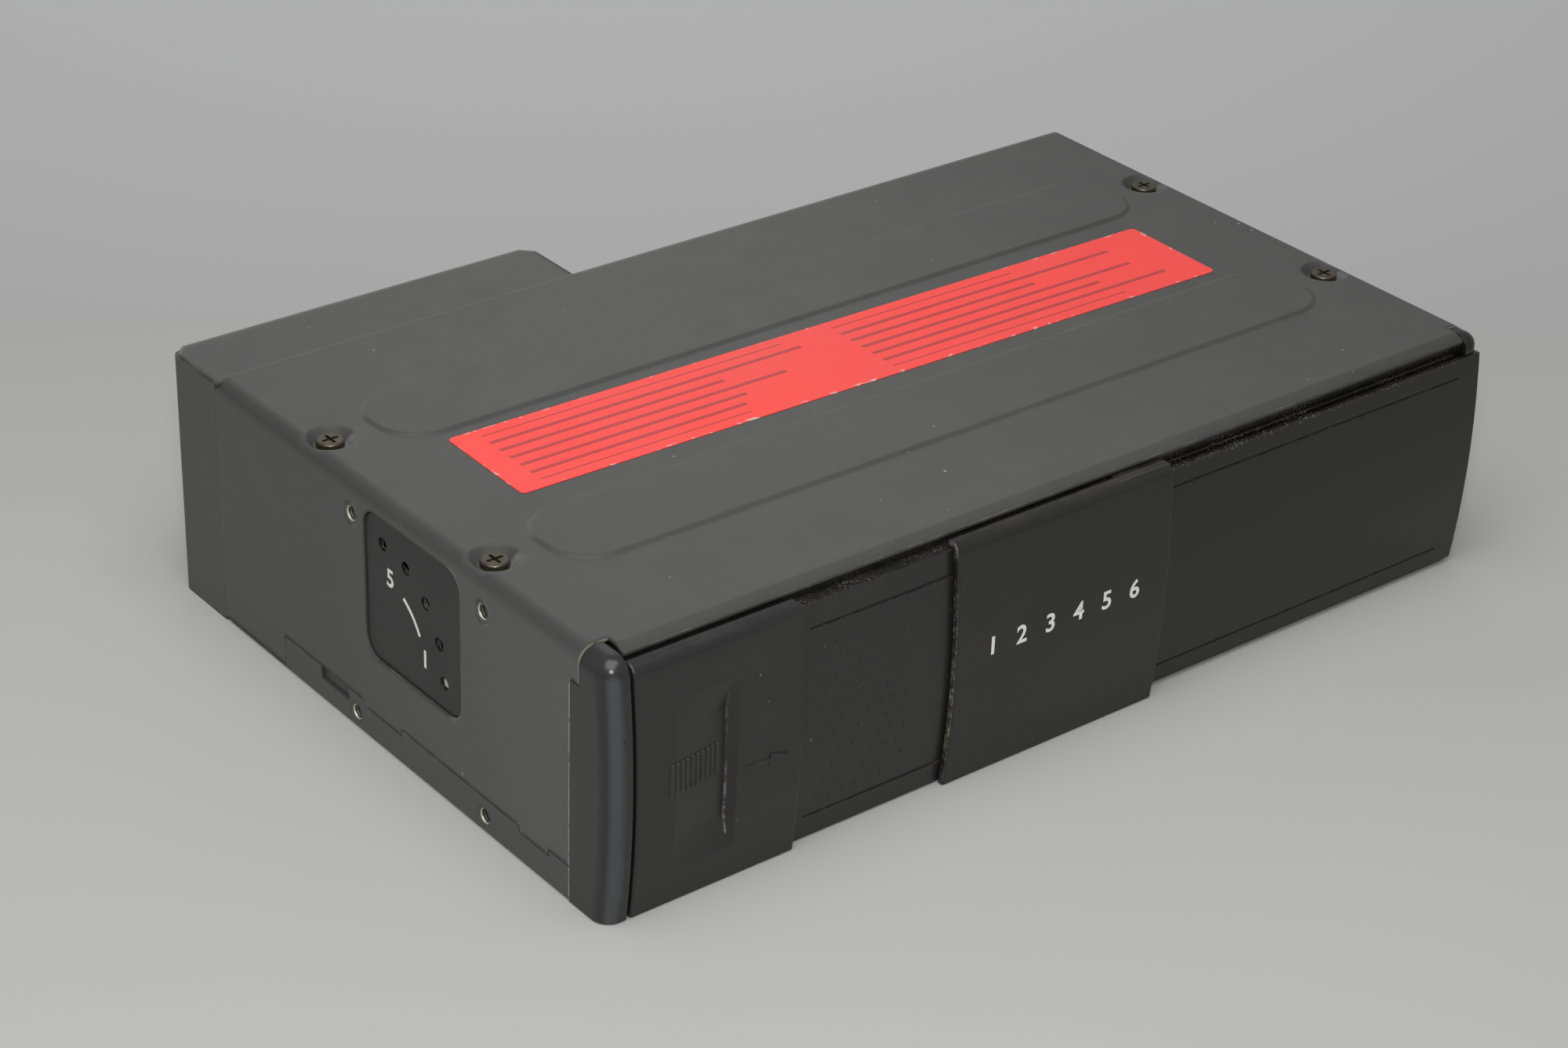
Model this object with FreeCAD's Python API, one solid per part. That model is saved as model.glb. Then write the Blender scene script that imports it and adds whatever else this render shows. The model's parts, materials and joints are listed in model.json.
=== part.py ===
import FreeCAD, Part
import math
import os

# A six-disc changer for a car boot: a folded steel casing with a two-leaf sliding door, and inside it
# a deck that floats on springs and dampers, with a disc magazine on the left and a lifting player on the
# right.
# Millimetres. X runs along the front, Y from front to rear, Z up. While it is built, y = 0 is the plane
# where the steel casing meets the plastic bezel; export() moves the origin to the middle of the footprint.

V = FreeCAD.Vector

# ---------------------------------------------------------------- driving dimensions
# discs and their magazine; the casing's depth follows from the disc
disc_radius = 60.0
disc_play = 0.6             # between a disc and the rim of its tray
disc_front = 8.0            # from the casing's front to the discs
tray_count = 6
tray_thickness = 2.0
tray_margin = 5.5           # tray beyond the disc, on its inner side
tray_rim = 3.4              # tray beyond the disc, front and rear
tray_end = 1.0              # tray beyond the disc, on the side where it leaves
tray_slot_width = 25.0
tray_seat = 0.5             # how far a tray's underside lies below its place in the magazine
magazine_wall = 2.0
magazine_face = 4.0         # front of the magazine, ahead of the casing
magazine_play = 0.9         # between the magazine and the deck's wall
magazine_rise = 11.0
magazine_mouth = 3.0
magazine_edge = 1.5
magazine_head = 3.5         # between the magazine and the top of the bezel's window
magazine_rear = 8.6         # between the magazine and the casing's rear face
shelf_reach = 3.0
shelf_thickness = 2.0
shelf_inset = 1.0
recess_depth = 1.4
hub_hole_radius = 17.5
finger_groove = (1.2, 0.5)  # width and depth of the five grooves in the magazine's front
finger_groove_pitch = 3.0
finger_groove_inset = (12.8, 6.0)
# steel casing
case_width = 265.0
case_height = 64.6
tail_depth = 19.8
tail_width = 101.7
cover_sheet = 0.8
tray_sheet = 1.0
cover_bend = 3.8
tray_bend = 1.2
fit_gap = 0.3               # between sheets, panels and plates that meet
running_gap = 0.05          # radial clearance of pins and shafts in their holes
lip_height = 9.0            # side lip of the tray
lip_rear = 27.8             # the lip ends so far from the rear, and the cover's flange goes on down
lip_tab_drop = 1.5          # how far the cover's two tabs reach down into the lip
lip_tabs = ((7.7, 18.4), (65.0, 80.0))
lip_slot_gap = 3.2          # between the lower rear mounting hole and the open slot behind it
lip_slot_length = 12.2
lip_slot_sill = 5.4
cover_nose = 8.3            # how far the roof reaches over the bezel
nose_slope = (2.8, 1.2)     # the roof's front edge slopes down: run and drop
nose_inset = (7.5, 5.5)     # the roof's nose stops so far from the casing's sides, left and right
cheek_nose = 2.9            # the flange's upper corner reaches this far over the bezel
cheek_nose_drop = 8.6
tail_step = 0.4
tail_corner = 3.0
roof_panel_inset = 17.5
roof_panel_width = 26.0
roof_panel_middle = (36.0, 39.3)    # of the front panel from the front, of the rear panel from the rear
roof_panel_corner = 11.5
roof_panel_rise = 0.6
roof_panel_slope = 1.1
sticker_length = 208.0
sticker_margin = 5.2        # between the sticker and the raised panels
sticker_shift = (-1.0, 0.5)
sticker_turn = -1.0
sticker_thickness = 0.15
sticker_corner = 1.5
# roof screws in their dimples
screw_inset = 6.9
screw_front = 37.2
screw_rear = 39.5
dimple_radius = 5.9
dimple_floor_radius = 3.9
dimple_depth = 1.8
screw_head_radius = 3.3
screw_head_height = 1.5
screw_head_edge = 0.5
screw_shank_radius = 1.2
screw_length = 5.0
cross_reach = 2.05
cross_width = 0.8
cross_depth = 0.9
# mounting holes on both sides
mount_pitch = 51.8
mount_y = 57.7
mount_foot = 4.35           # lower holes above the floor
mount_drop = 8.45           # upper holes below the roof
mount_bore_radius = 1.65
mount_boss_radius = 2.5
mount_chamfer = 0.4
mount_boss_length = 3.5
# side frames and spring adjusters
frame_sheet = 1.0
frame_front = 6.0
frame_rear = 6.3
frame_drop = 4.6            # upper edge of the frames below the roof
frame_foot = 4.0
frame_lug = (10.6, 12.0)
adjuster_gap = 12.1         # between the rear mounting holes and the adjuster's pivot
adjuster_z = 30.0
adjuster_drop = 10.8        # last hole of the scale below the roof
adjuster_steps = 5
adjuster_sweep = 90.0
adjuster_hole_radius = 1.6
peg_radius = 1.2
peg_reach = 1.1
peg_lane = 0.6
arm_sheet = 0.8
arm_width = 6.0
arm_hub_radius = 4.2
arm_stud_radius = 1.95
arm_post_radius = 1.0
arm_post_inset = 2.5
arm_post_end = 1.2
scale_margin = (6.9, 6.5, 6.4)      # plate beyond the holes' arc: front and rear, below, above
scale_plate_thickness = 0.55
scale_plate_corner = 4.5
spring_radius = 2.0
spring_wire = 0.6
spring_clearance = 0.7      # between the spring and the deck's wall
spring_gap = 0.45           # between the spring and the adjuster's arm
# bezel and sliding door: bowed faces, all about one long axis; drops are measured from the roof
face_radius = 257.0
face_reach = 14.4           # how far the raised faces stand ahead of the casing
face_middle_drop = 0.8      # the axis lies so far below the casing's half height
bezel_step = 0.3
bezel_edge = 4.4
corner_edge = 3.4           # rounding of the block above the panel's right end
panel_end = (4.0, 2.4)      # solid right end of the panel: width and rounding
post_width = 5.9
post_foot = 0.4
door_gap = 1.0
leaf_thickness = 1.5
leaf_gap = 0.5
slab_thickness = 0.9
slab_gap = 0.3
panel_thickness = 1.2
leaf_foot = 0.4
leaf_drop = 2.3
leaf_edge = 3.0
leaf_top_wall = 1.2
leaf_side_edge = 0.6
leaf_nose_gap = 1.0         # between the raised leaves' top flange and the roof's nose
slab_foot = 0.6
slab_drop = 4.1
slab_flange = 0.9
panel_foot = 1.8
panel_drop = 5.3
ledge_drop = 2.4
ledge_back = 0.2
hook_play = 0.25            # between the hooks and the bezel's lower lip
hook_thickness = 0.7
hook_drop = 2.9
channel_play = 0.2
head_width = 43.9
head_space = 42.7
middle_width = 64.5
middle_hook = 15.0          # length of the middle leaf's own hooks, at its right end
slab_overlap = 5.0
panel_overlap = 4.5
groove_width = 0.7
groove_depth = 0.35
groove_foot = 6.5
groove_drop = 10.1
groove_inset = (3.0, 4.0)
scoop_x = (10.1, 24.4)      # from the leaf's left edge to where the scoop is deepest
scoop_wall = 1.8            # width of the steep wall right of that
scoop_ends = 8.0            # height of the slopes at the scoop's upper and lower ends
scoop_foot = 9.0
scoop_drop = 13.1
scoop_depth = 2.2
grip_ribs = 10
grip_rib_size = (0.7, 7.9, 0.35)
grip_rib_pitch = 1.45
grip_rib_rise = 0.8         # above the face's middle
grip_rib_start = 8.6
arrow_size = (5.0, 3.0, 0.3)
arrow_inset = 9.0
arrow_fall = 3.5            # below the face's middle
arrow_stem = (6.0, 0.8)
dot_rows = 12
dot_columns = 7
dot_radius = 0.35
dot_pitch = (3.6, 3.9)
dot_height = 0.2
dot_inset = 7.0
bite = 0.3                  # how deep an added form is let into the one that carries it
# bezel interior
window_foot = 6.0
window_drop = 9.6
fascia_gap = 1.4            # between the magazine and the fascia beside it
fascia_width = 9.1
fascia_depth = 2.0
wing_width = 1.5
button_inset = 1.5
button_width = 5.6
button_foot = 26.0
button_height = 12.0
button_front = 4.6
button_flange = 1.2
button_flange_reach = (1.0, 1.5)
button_edge = 0.8
tongue_inset = 42.5
tongue_size = (24.0, 5.0, 1.4)
tab_size = (2.8, 5.5)
tab_foot = 12.0
tab_drop = 14.6
# inner deck
deck_sheet = 1.0
deck_z = 4.0
deck_front = 3.0
deck_rear = 5.3
deck_drop = 8.6             # upper edge of the deck's walls below the roof
rail_width = (6.0, 5.0)     # rails under the magazine, left and right
rail_inset = (4.3, 8.5)     # from the magazine's left wall and from its mouth
rail_ends = (1.0, 3.0)
damper_radius = 6.0
damper_length = 5.2
damper_pin_radius = 1.8
damper_pin_length = 4.0
damper_front = 20.0
damper_rear = 17.0          # from the deck's rear edge
damper_drop = 10.0          # below the upper edge of the deck's walls
# player and its lift
lift_margin = 3.0           # lift beyond the step from the first tray to the last
slide_ratio = 0.6           # slide travel per unit of lift
carriage_sheet = 1.5
carriage_z = 7.5
carriage_gap = 16.5         # between the magazine's mouth and the carriage
carriage_side = 3.2         # between the carriage and the outer face of the deck's wall
carriage_ends = (5.0, 4.0)  # between the carriage and the lift walls, front and rear
player_inset = 32.0         # turntable's axis from the carriage's left edge
lift_wall_reach = 5.0       # lift walls beyond the carriage, towards the magazine
lift_wall_rear = 5.0
lift_wall_drop = 1.0        # below the upper edge of the deck's walls
lift_pin_radius = 1.5
lift_pin_inset = (28.0, 60.0)
lift_pin_rise = 4.0
lift_pin_end = 0.6
lug_size = (6.0, 3.0, 2.6)  # lugs that hold the lift pins: width, depth, and height above the pin
slide_sheet = 1.2
slide_inset = (4.0, 66.0)
slide_foot = 6.5
slide_drop = 13.6
slot_play = 0.2
rack_module = 0.8
rack_backlash = 0.35
rack_inset = 2.0
tooth_taper = 0.3
pinion_teeth = 10
pinion_inset = 54.0
pinion_spacing = 4.76       # axis above the rack's foot line
lift_motor_radius = 6.0
lift_motor_length = 16.0
lift_motor_gap = 1.0
bracket_width = 18.0
bracket_reach = 3.0
shaft_radius = 1.0
shaft_engagement = 2.5
turntable_radius = 14.0
turntable_height = 2.1
cone_radius = 7.3
cone_height = 2.2
spindle_radius = 1.0
spindle_clearance = 2.0
spindle_depth = 2.5
motor_radius = 11.0
motor_height = 5.9
rod_radius = 1.25
rod_offset = 22.0
rod_z = 5.0
rod_front = 1.0
rod_rear = 6.0              # rods end so far ahead of the turntable's axis
rod_block = (6.0, 3.0, 2.2)
sled_size = (54.0, 12.0, 3.6)
sled_overhang = 3.5
sled_offset = 22.0          # sled's place at rest, ahead of the turntable's axis
sled_tower = (11.0, 1.0)    # width of the lens tower, and its inset from the sled's ends
pickup_slot = (14.0, 4.0)   # width, and distance from the carriage's front edge
lens_radius = 3.5
lens_height = 1.0
lens_seat = 0.6             # how far the tower's top lies below the carriage's
screw_offset = 30.0
screw_radius = 1.5
thread_depth = 0.3
screw_pitch = 4.0
nut_size = (6.4, 2.0, 4.0)
sled_motor_radius = 3.3
sled_motor_length = 15.0
sled_motor_gap = 3.0
sled_motor_clip = (13.0, 4.0, 5.0)
clamp_radius = 13.0
clamp_thickness = 2.2
clamp_rise = 4.1
clamp_neck_radius = 3.0
clamp_cap = (4.5, 0.6)
clamp_arm_width = 22.0
clamp_arm_thickness = 2.4
clamp_arm_nose = 8.0
clamp_hub_radius = 2.4
clamp_window = (10.0, 14.0) # holes in the arm, along and across
clamp_window_pitch = 14.0
clamp_window_start = 12.0
clamp_pin_radius = 1.25
clamp_post = (3.0, 4.0)
post_clearance = 0.2        # carriage's clamp posts above the arm
# electronics
board_thickness = 1.6
board_height = 48.0
board_gap = 9.2             # between the board and the bus socket
board_front = 4.7           # board behind the casing's rear face
board_z = 7.0
board_inset = 8.5
board_hole_radius = 1.2
board_hole_inset = (6.0, 20.0)
chip_sizes = ((14.0, 14.0, 2.0), (10.0, 20.0, 2.4), (9.0, 9.0, 1.8))
chip_inset = (10.0, 12.0)
chip_gap = 3.0
chip_step = 6.0
standoff_radius = 2.5
standoff_peg = 0.6
bus_socket_size = (14.0, 16.0)      # depth into the tail, height
bus_socket_margin = 2.0     # between the socket's mouth and the tail's front and rear faces
power_socket_size = (10.0, 8.6, 11.0)
socket_wall = 1.2
socket_rim = 1.0
socket_floor = 3.0
bus_pins = 6
power_pins = 3
pin_inset = 6.0
pin_width = 0.8
pin_margin = 2.5
bus_socket_z = 24.0
socket_spacing = 7.5        # between the two sockets' mouths
transit_hole_radius = 5.0
transit_plug_rim = 1.5
transit_plug_head = 1.0
transit_plug_recess = 0.2
transit_inset = (45.0, 25.0)
transit_y = (40.0, 110.0, 100.0)    # two on the left, one on the right

# ---------------------------------------------------------------- derived places
half = case_width / 2
roof = case_height
disc_y = disc_front + disc_radius
magazine_y = (-magazine_face, disc_y + disc_radius + tray_rim + fit_gap + magazine_wall)
case_depth = magazine_y[1] + magazine_rear
rear = case_depth + tail_depth
tail_x = -half + tail_width
lip_length = case_depth - lip_rear
nose_x = (-half + nose_inset[0], half - nose_inset[1])
cheek_nose_height = roof - cheek_nose_drop
roof_panel_y = (roof_panel_middle[0], case_depth - roof_panel_middle[1])
sticker_width = roof_panel_y[1] - roof_panel_y[0] - roof_panel_width - 2 * sticker_margin
screw_y = (screw_front, case_depth - screw_rear)
mount_z = (mount_foot, roof - mount_drop)
frame_y = (frame_front, case_depth - frame_rear)
frame_top = roof - frame_drop
frame_x = half - tray_sheet - running_gap    # outer face of the side frames
arm_x = frame_x - frame_sheet - fit_gap     # outer face of the adjuster's arm
spring_x = arm_x - arm_sheet - spring_gap - spring_radius
deck_x = spring_x - spring_radius - spring_clearance       # outer face of the deck's walls
mount_rows = (mount_y - mount_pitch / 2, mount_y + mount_pitch / 2)
adjuster_y = mount_rows[1] - adjuster_gap
lip_slot = (mount_rows[1] + lip_slot_gap, mount_rows[1] + lip_slot_gap + lip_slot_length)
adjuster_radius = roof - adjuster_drop - adjuster_z
post_reach = adjuster_radius - arm_post_inset
scale_plate_y = (adjuster_y - adjuster_radius - scale_margin[0], adjuster_y + scale_margin[0])
scale_plate_z = (adjuster_z - scale_margin[1], adjuster_z + adjuster_radius + scale_margin[2])
face_middle = roof / 2 - face_middle_drop
face_axis_y = face_radius - face_reach
bezel_height = roof - bezel_step
leaf_z = (leaf_foot, roof - leaf_drop)
slab_z = (slab_foot, roof - slab_drop)
panel_z = (panel_foot, roof - panel_drop)
ledge_top = roof - ledge_drop
window_z = (window_foot, roof - window_drop)
groove_z = (groove_foot, roof - groove_drop)
scoop_z = (scoop_foot, roof - scoop_drop)
tab_z = (tab_foot, roof - tab_drop)
middle_y = (rear - face_reach - grip_rib_size[2]) / 2      # becomes y = 0 on export
post_x = -half + post_width                 # inner face of the bezel's left post
door_x = post_x + door_gap                  # left edge of the closed door
head_end = door_x + head_width
middle_x = head_end + head_space
middle_end = middle_x + middle_width
leaf_back = cover_nose + leaf_nose_gap      # rear edge of the raised leaves' top flange, ahead of the casing
slab_front = leaf_thickness + leaf_gap      # depths behind the raised faces
slab_back = slab_front + slab_thickness
panel_front = slab_back + slab_gap
panel_back = panel_front + panel_thickness
slab_end = middle_x + slab_overlap
panel_x = middle_end - panel_overlap
panel_right = half - fit_gap
tongue_x = (-half + tongue_inset, 0.0, half - tongue_inset)
deck_y = (deck_front, case_depth - deck_rear)
deck_top = roof - deck_drop
damper_y = (damper_front, deck_y[1] - damper_rear)
damper_z = deck_top - damper_drop
magazine_x = -deck_x + deck_sheet + magazine_play
disc_x = magazine_x + magazine_wall + fit_gap + tray_margin + disc_radius
magazine_end = disc_x + disc_radius + tray_end + magazine_mouth
magazine_floor = magazine_rise + magazine_wall + tray_seat
magazine_top = window_z[1] - magazine_head
tray_pitch = (magazine_top - magazine_wall - magazine_floor) / tray_count
left_rail = magazine_x + rail_inset[0]
right_rail = magazine_end - rail_inset[1]
rail_x = ((left_rail, left_rail + rail_width[0]), (right_rail - rail_width[1], right_rail))
fascia_x = magazine_end + fascia_gap
wing_x = fascia_x + fascia_width
button_x = (fascia_x + button_inset, fascia_x + button_inset + button_width)
button_z = (button_foot, button_foot + button_height)
lift_travel = tray_pitch * (tray_count - 1) + lift_margin
slide_travel = slide_ratio * lift_travel
lift_wall_y = (deck_y[0], deck_y[1] - lift_wall_rear)
lift_wall_top = deck_top - lift_wall_drop
carriage_x = (magazine_end + carriage_gap, deck_x - carriage_side)
carriage_y = (lift_wall_y[0] + carriage_ends[0], lift_wall_y[1] - carriage_ends[1])
carriage_top = carriage_z + carriage_sheet
lift_wall_x = (carriage_x[0] - lift_wall_reach, carriage_x[1])
lift_pin_x = [carriage_x[0] + inset for inset in lift_pin_inset]
lift_pin_z = carriage_z + lift_pin_rise
slide_x = [carriage_x[0] + inset for inset in slide_inset]
slide_z = (slide_foot, roof - slide_drop)
slide_front = lift_wall_y[0] + deck_sheet + fit_gap        # front face of the front slide
pinion_x = carriage_x[0] + pinion_inset
pinion_z = slide_z[1] + pinion_spacing
pitch_radius = pinion_teeth * rack_module / 2
lift_motor_y = slide_front + slide_sheet + lift_motor_gap
player_x = carriage_x[0] + player_inset
turntable_top = carriage_top + turntable_height
rod_x = (player_x - rod_offset, player_x + rod_offset)
rod_y = (carriage_y[0] + rod_front, disc_y - rod_rear)
sled_start = disc_y - sled_offset
screw_x = player_x + screw_offset
sled_motor_y = rod_y[1] + sled_motor_gap
deck_window = ((carriage_x[0] + carriage_sheet, screw_x + sled_motor_clip[0] / 2 + carriage_sheet),
               (carriage_y[0] - 2 * carriage_sheet, carriage_y[1] - 2 * carriage_sheet))
clamp_arm_z = turntable_top + clamp_rise + clamp_thickness
clamp_pin_x = carriage_x[1] - clamp_post[0] / 2
clamp_pin_z = clamp_arm_z + clamp_arm_thickness / 2
socket_y = case_depth + tail_depth / 2
bus_socket = (bus_socket_size[0], tail_depth - 2 * bus_socket_margin, bus_socket_size[1])
board_x = -half + board_inset
board_width = tail_x - bus_socket[0] - board_gap - board_x
board_y = case_depth + board_front
power_socket_z = bus_socket_z + (bus_socket_size[1] + power_socket_size[2]) / 2 + socket_spacing


# ---------------------------------------------------------------- helpers
def box(x0, x1, y0, y1, z0, z1):
    return Part.makeBox(x1 - x0, y1 - y0, z1 - z0, V(x0, y0, z0))


def rod_between(radius, start, end):
    axis = V(*end) - V(*start)
    return Part.makeCylinder(radius, axis.Length, V(*start), axis)


def along_x(radius, x0, x1, y, z):
    return rod_between(radius, (x0, y, z), (x1, y, z))


def along_y(radius, x, y0, y1, z):
    return rod_between(radius, (x, y0, z), (x, y1, z))


def along_z(radius, x, y, z0, z1):
    return rod_between(radius, (x, y, z0), (x, y, z1))


def fuse(*shapes):
    first, *others = shapes
    return first.fuse(others).removeSplitter() if others else first


def cut(shape, *tools):
    return shape.cut(list(tools)) if tools else shape


def prism(points, direction):
    """A closed outline of points, pushed along a direction."""
    corners = [V(*p) for p in points]
    return Part.Face(Part.makePolygon(corners + corners[:1])).extrude(V(*direction))


def rounded_slab(x0, x1, y0, y1, z0, z1, corner):
    slab = box(x0, x1, y0, y1, z0, z1)
    upright = [e for e in slab.Edges if abs(e.Vertexes[0].Z - e.Vertexes[-1].Z) > (z1 - z0) / 2]
    return slab.makeFillet(corner, upright)


def mirrored(shape):
    return shape.mirror(V(0, 0, 0), V(1, 0, 0))


def face_y(depth, z):
    """Where a bowed face, so deep behind the raised ones, lies at a height."""
    return face_axis_y - math.sqrt((face_radius - depth) ** 2 - (z - face_middle) ** 2)


def bowed_arc(x, depth, z0, z1):
    middle = (z0 + z1) / 2
    return Part.Arc(V(x, face_y(depth, z0), z0), V(x, face_y(depth, middle), middle),
                    V(x, face_y(depth, z1), z1)).toShape()


def bowed(x0, x1, z0, z1, depth, back_depth):
    """A plate whose front and back are both bowed."""
    front, back = bowed_arc(x0, depth, z0, z1), bowed_arc(x0, back_depth, z0, z1)
    ends = [Part.makeLine(V(x0, face_y(depth, z), z), V(x0, face_y(back_depth, z), z)) for z in (z0, z1)]
    return Part.Face(Part.Wire(Part.__sortEdges__([front, back] + ends))).extrude(V(x1 - x0, 0, 0))


def bowed_block(x0, x1, z0, z1, depth, back_y):
    """A block with a bowed front and a flat back."""
    front = bowed_arc(x0, depth, z0, z1)
    back = Part.makeLine(V(x0, back_y, z0), V(x0, back_y, z1))
    ends = [Part.makeLine(V(x0, face_y(depth, z), z), V(x0, back_y, z)) for z in (z0, z1)]
    return Part.Face(Part.Wire(Part.__sortEdges__([front, back] + ends))).extrude(V(x1 - x0, 0, 0))


def edges_where(shape, test):
    return [e for e in shape.Edges if test(e)]


def runs_along_x(edge):
    a, b = edge.Vertexes[0].Point, edge.Vertexes[-1].Point
    return abs(a.y - b.y) < 0.01 and abs(a.z - b.z) < 0.01 and abs(a.x - b.x) > 1


def export(name, *shapes):
    placed = []
    for shape in shapes:
        copy = shape.copy()
        copy.translate(V(0, -middle_y, 0))
        placed.extend(copy.Solids)
    Part.makeCompound(placed).exportStep("parts/%s.step" % name)
    for solid in placed:
        if not solid.isValid() or solid.Volume < 0.01:
            print("check", name, solid.isValid(), round(solid.Volume, 3))


os.makedirs("parts", exist_ok=True)


# ---------------------------------------------------------------- top cover
def cover_block(inset):
    """The cover's outer form, or the room inside it, open below, in front and behind."""
    side, top, bend = half - inset, roof - inset, cover_bend - inset
    front = -cover_nose - (1 if inset else 0)
    back = case_depth + (1 if inset else 0)
    block = box(-side, side, front, back, -1, top)
    block = block.makeFillet(bend, edges_where(
        block, lambda e: abs(e.Length - (back - front)) < 0.01 and e.Vertexes[0].Z > top - 0.01))
    run, drop = nose_slope
    reach = front - 1
    slope = drop / run
    start = -cover_nose + run
    wedge = prism([(-half - 1, start, top), (-half - 1, reach, top - (start - reach) * slope),
                   (-half - 1, reach, top + 2), (-half - 1, start, top + 2)], (case_width + 2, 0, 0))
    return cut(block, wedge)


def roof_panel(y, drop):
    """One raised panel of the roof; drop lowers it by the sheet's thickness for the hollow below."""
    length, width = case_width - 2 * roof_panel_inset, roof_panel_width

    def outline(inset, z):
        x, dy = length / 2 - inset, width / 2 - inset
        slab = rounded_slab(-x, x, y - dy, y + dy, z, z + 1, roof_panel_corner - inset)
        low = [f for f in slab.Faces if abs(f.CenterOfMass.z - z) < 0.01][0]
        return low.OuterWire
    base = roof - drop
    return Part.makeLoft([outline(0, base - 0.2), outline(0, base),
                          outline(roof_panel_slope, base + roof_panel_rise)], True, True)


def mount_points():
    for y in mount_rows:
        for z in mount_z:
            yield y, z


def screw_points():
    for y in screw_y:
        yield half - screw_inset, y


def scale_plate_form(x0, x1, grow):
    y0, y1 = scale_plate_y
    z0, z1 = scale_plate_z
    slab = rounded_slab(z0 - grow, z1 + grow, y0 - grow, y1 + grow, x0, x1, scale_plate_corner + grow)
    slab.rotate(V(0, 0, 0), V(0, 1, 0), -90)
    return slab.mirror(V(0, 0, 0), V(1, 0, 0)) if slab.BoundBox.XMax < 0 else slab


def cover_side_cuts():
    """What is cut from the cover's right flange; the left one is its mirror image."""
    out = half + 1
    inner = half - cover_bend - 4
    seam = lip_height + fit_gap
    tools = [box(inner, out, -cover_nose - 1, 0, -2, cheek_nose_height),
             box(inner, out, lip_length + fit_gap - 1, case_depth + 1, -2, tray_sheet + fit_gap)]
    spans = [-1] + [y for tab in lip_tabs for y in tab] + [lip_length + fit_gap]
    for start, end in zip(spans[::2], spans[1::2]):
        tools.append(box(inner, out, start, end, -2, seam))
    for start, end in lip_tabs:
        tools.append(box(inner, out, start - 0.1, end + 0.1, -2, seam - lip_tab_drop))
    for y, z in mount_points():
        tools.append(along_x(mount_boss_radius + running_gap, half - 2, out, y, z))
    tools.append(scale_plate_form(half - 2, out, fit_gap))
    return tools


def top_cover():
    outer = cover_block(0)
    inner = cover_block(cover_sheet)
    outer = fuse(outer, *[roof_panel(y, 0) for y in roof_panel_y])
    inner = fuse(inner, *[roof_panel(y, cover_sheet) for y in roof_panel_y])
    tail_roof = roof - tail_step
    tail = box(-half, tail_x, case_depth - 2 * cover_sheet, rear, tail_roof - cover_sheet, tail_roof)
    tail = tail.makeChamfer(tail_corner, edges_where(
        tail, lambda e: e.Length < 2 * cover_sheet and e.Vertexes[0].Y > rear - 0.01))
    cups, holes = [], []
    for x, y in screw_points():
        for side in (-x, x):
            floor = roof - dimple_depth
            cups.append(Part.makeCone(dimple_floor_radius + cover_sheet, dimple_radius + cover_sheet,
                                      dimple_depth + cover_sheet, V(side, y, floor - cover_sheet)).common(
                                          cover_block(0)))
            holes.append(Part.makeCone(dimple_floor_radius, dimple_radius, dimple_depth, V(side, y, floor)))
            holes.append(along_z(screw_shank_radius + fit_gap, side, y, floor - 2, roof))
    sheet = fuse(cut(outer, inner), tail, *cups)
    sides = cover_side_cuts()
    left, right = nose_x
    corners = [box(-half - 1, left, -cover_nose - 1, -cheek_nose, -2, roof + 1),
               box(right, half + 1, -cover_nose - 1, -cheek_nose, -2, roof + 1)]
    return cut(sheet, *holes, *corners, *sides, *[mirrored(t) for t in sides])


# ---------------------------------------------------------------- tray, the casing's lower half
def chassis_tray():
    wall = tray_sheet
    low = box(-half, half, 0, case_depth, 0, lip_height)
    low = low.makeFillet(tray_bend, edges_where(
        low, lambda e: abs(e.Length - case_depth) < 0.01 and e.Vertexes[0].Z < 0.01))
    low = cut(low, box(-half + wall, half - wall, wall, case_depth + 1, wall, roof))
    tail_top = roof - tail_step - cover_sheet - running_gap
    tail = box(-half, tail_x, case_depth, rear, 0, tail_top)
    tail = tail.makeFillet(2 * tray_bend, edges_where(
        tail, lambda e: abs(e.Length - tail_top) < 0.01 and e.Vertexes[0].Y > rear - 0.01))
    tail = cut(tail, box(-half + wall, tail_x - wall, case_depth - 1, rear - wall, wall, roof))
    back = box(tail_x - wall, half, case_depth - wall, case_depth, 0, roof)
    back = back.common(fuse(cover_block(cover_sheet + running_gap), box(-half, half, 0, rear, -1, wall)))
    tray = fuse(low, tail, back)
    tools = []
    for sign in (-1, 1):
        def side(y0, y1, z0, z1):
            a, b = sorted((sign * (half - 2 * wall), sign * (half + 1)))
            return box(a, b, y0, y1, z0, z1)
        tools.append(side(lip_length, case_depth, wall, roof))
        for start, end in lip_tabs:
            tools.append(side(start - fit_gap, end + fit_gap, lip_height - lip_tab_drop, roof))
        tools.append(side(*lip_slot, lip_slot_sill, roof))
        for y, z in mount_points():
            tools.append(along_x(mount_boss_radius + running_gap, sign * (half - 3), sign * (half + 1),
                                 y, z))
    for x, y in transit_points():
        tools.append(along_z(transit_hole_radius, x, y, -1, wall + 1))
    for x in tongue_x:
        tools.append(bezel_tongue(x, running_gap))
    tools.append(box(-half, tail_x + fit_gap, case_depth - wall - 1, rear + 1, tail_top, roof))
    tools.append(socket_opening(bus_socket_z, bus_socket))
    tools.append(socket_opening(power_socket_z, power_socket_size))
    return cut(tray, *tools)


def transit_points():
    left, right = transit_inset
    yield -half + left, transit_y[0]
    yield -half + left, transit_y[1]
    yield half - right, transit_y[2]


def socket_opening(z, size):
    _, width, height = size
    return box(tail_x - 3, tail_x + 1,
               socket_y - width / 2 - running_gap, socket_y + width / 2 + running_gap,
               z - height / 2 - running_gap, z + height / 2 + running_gap)


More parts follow.
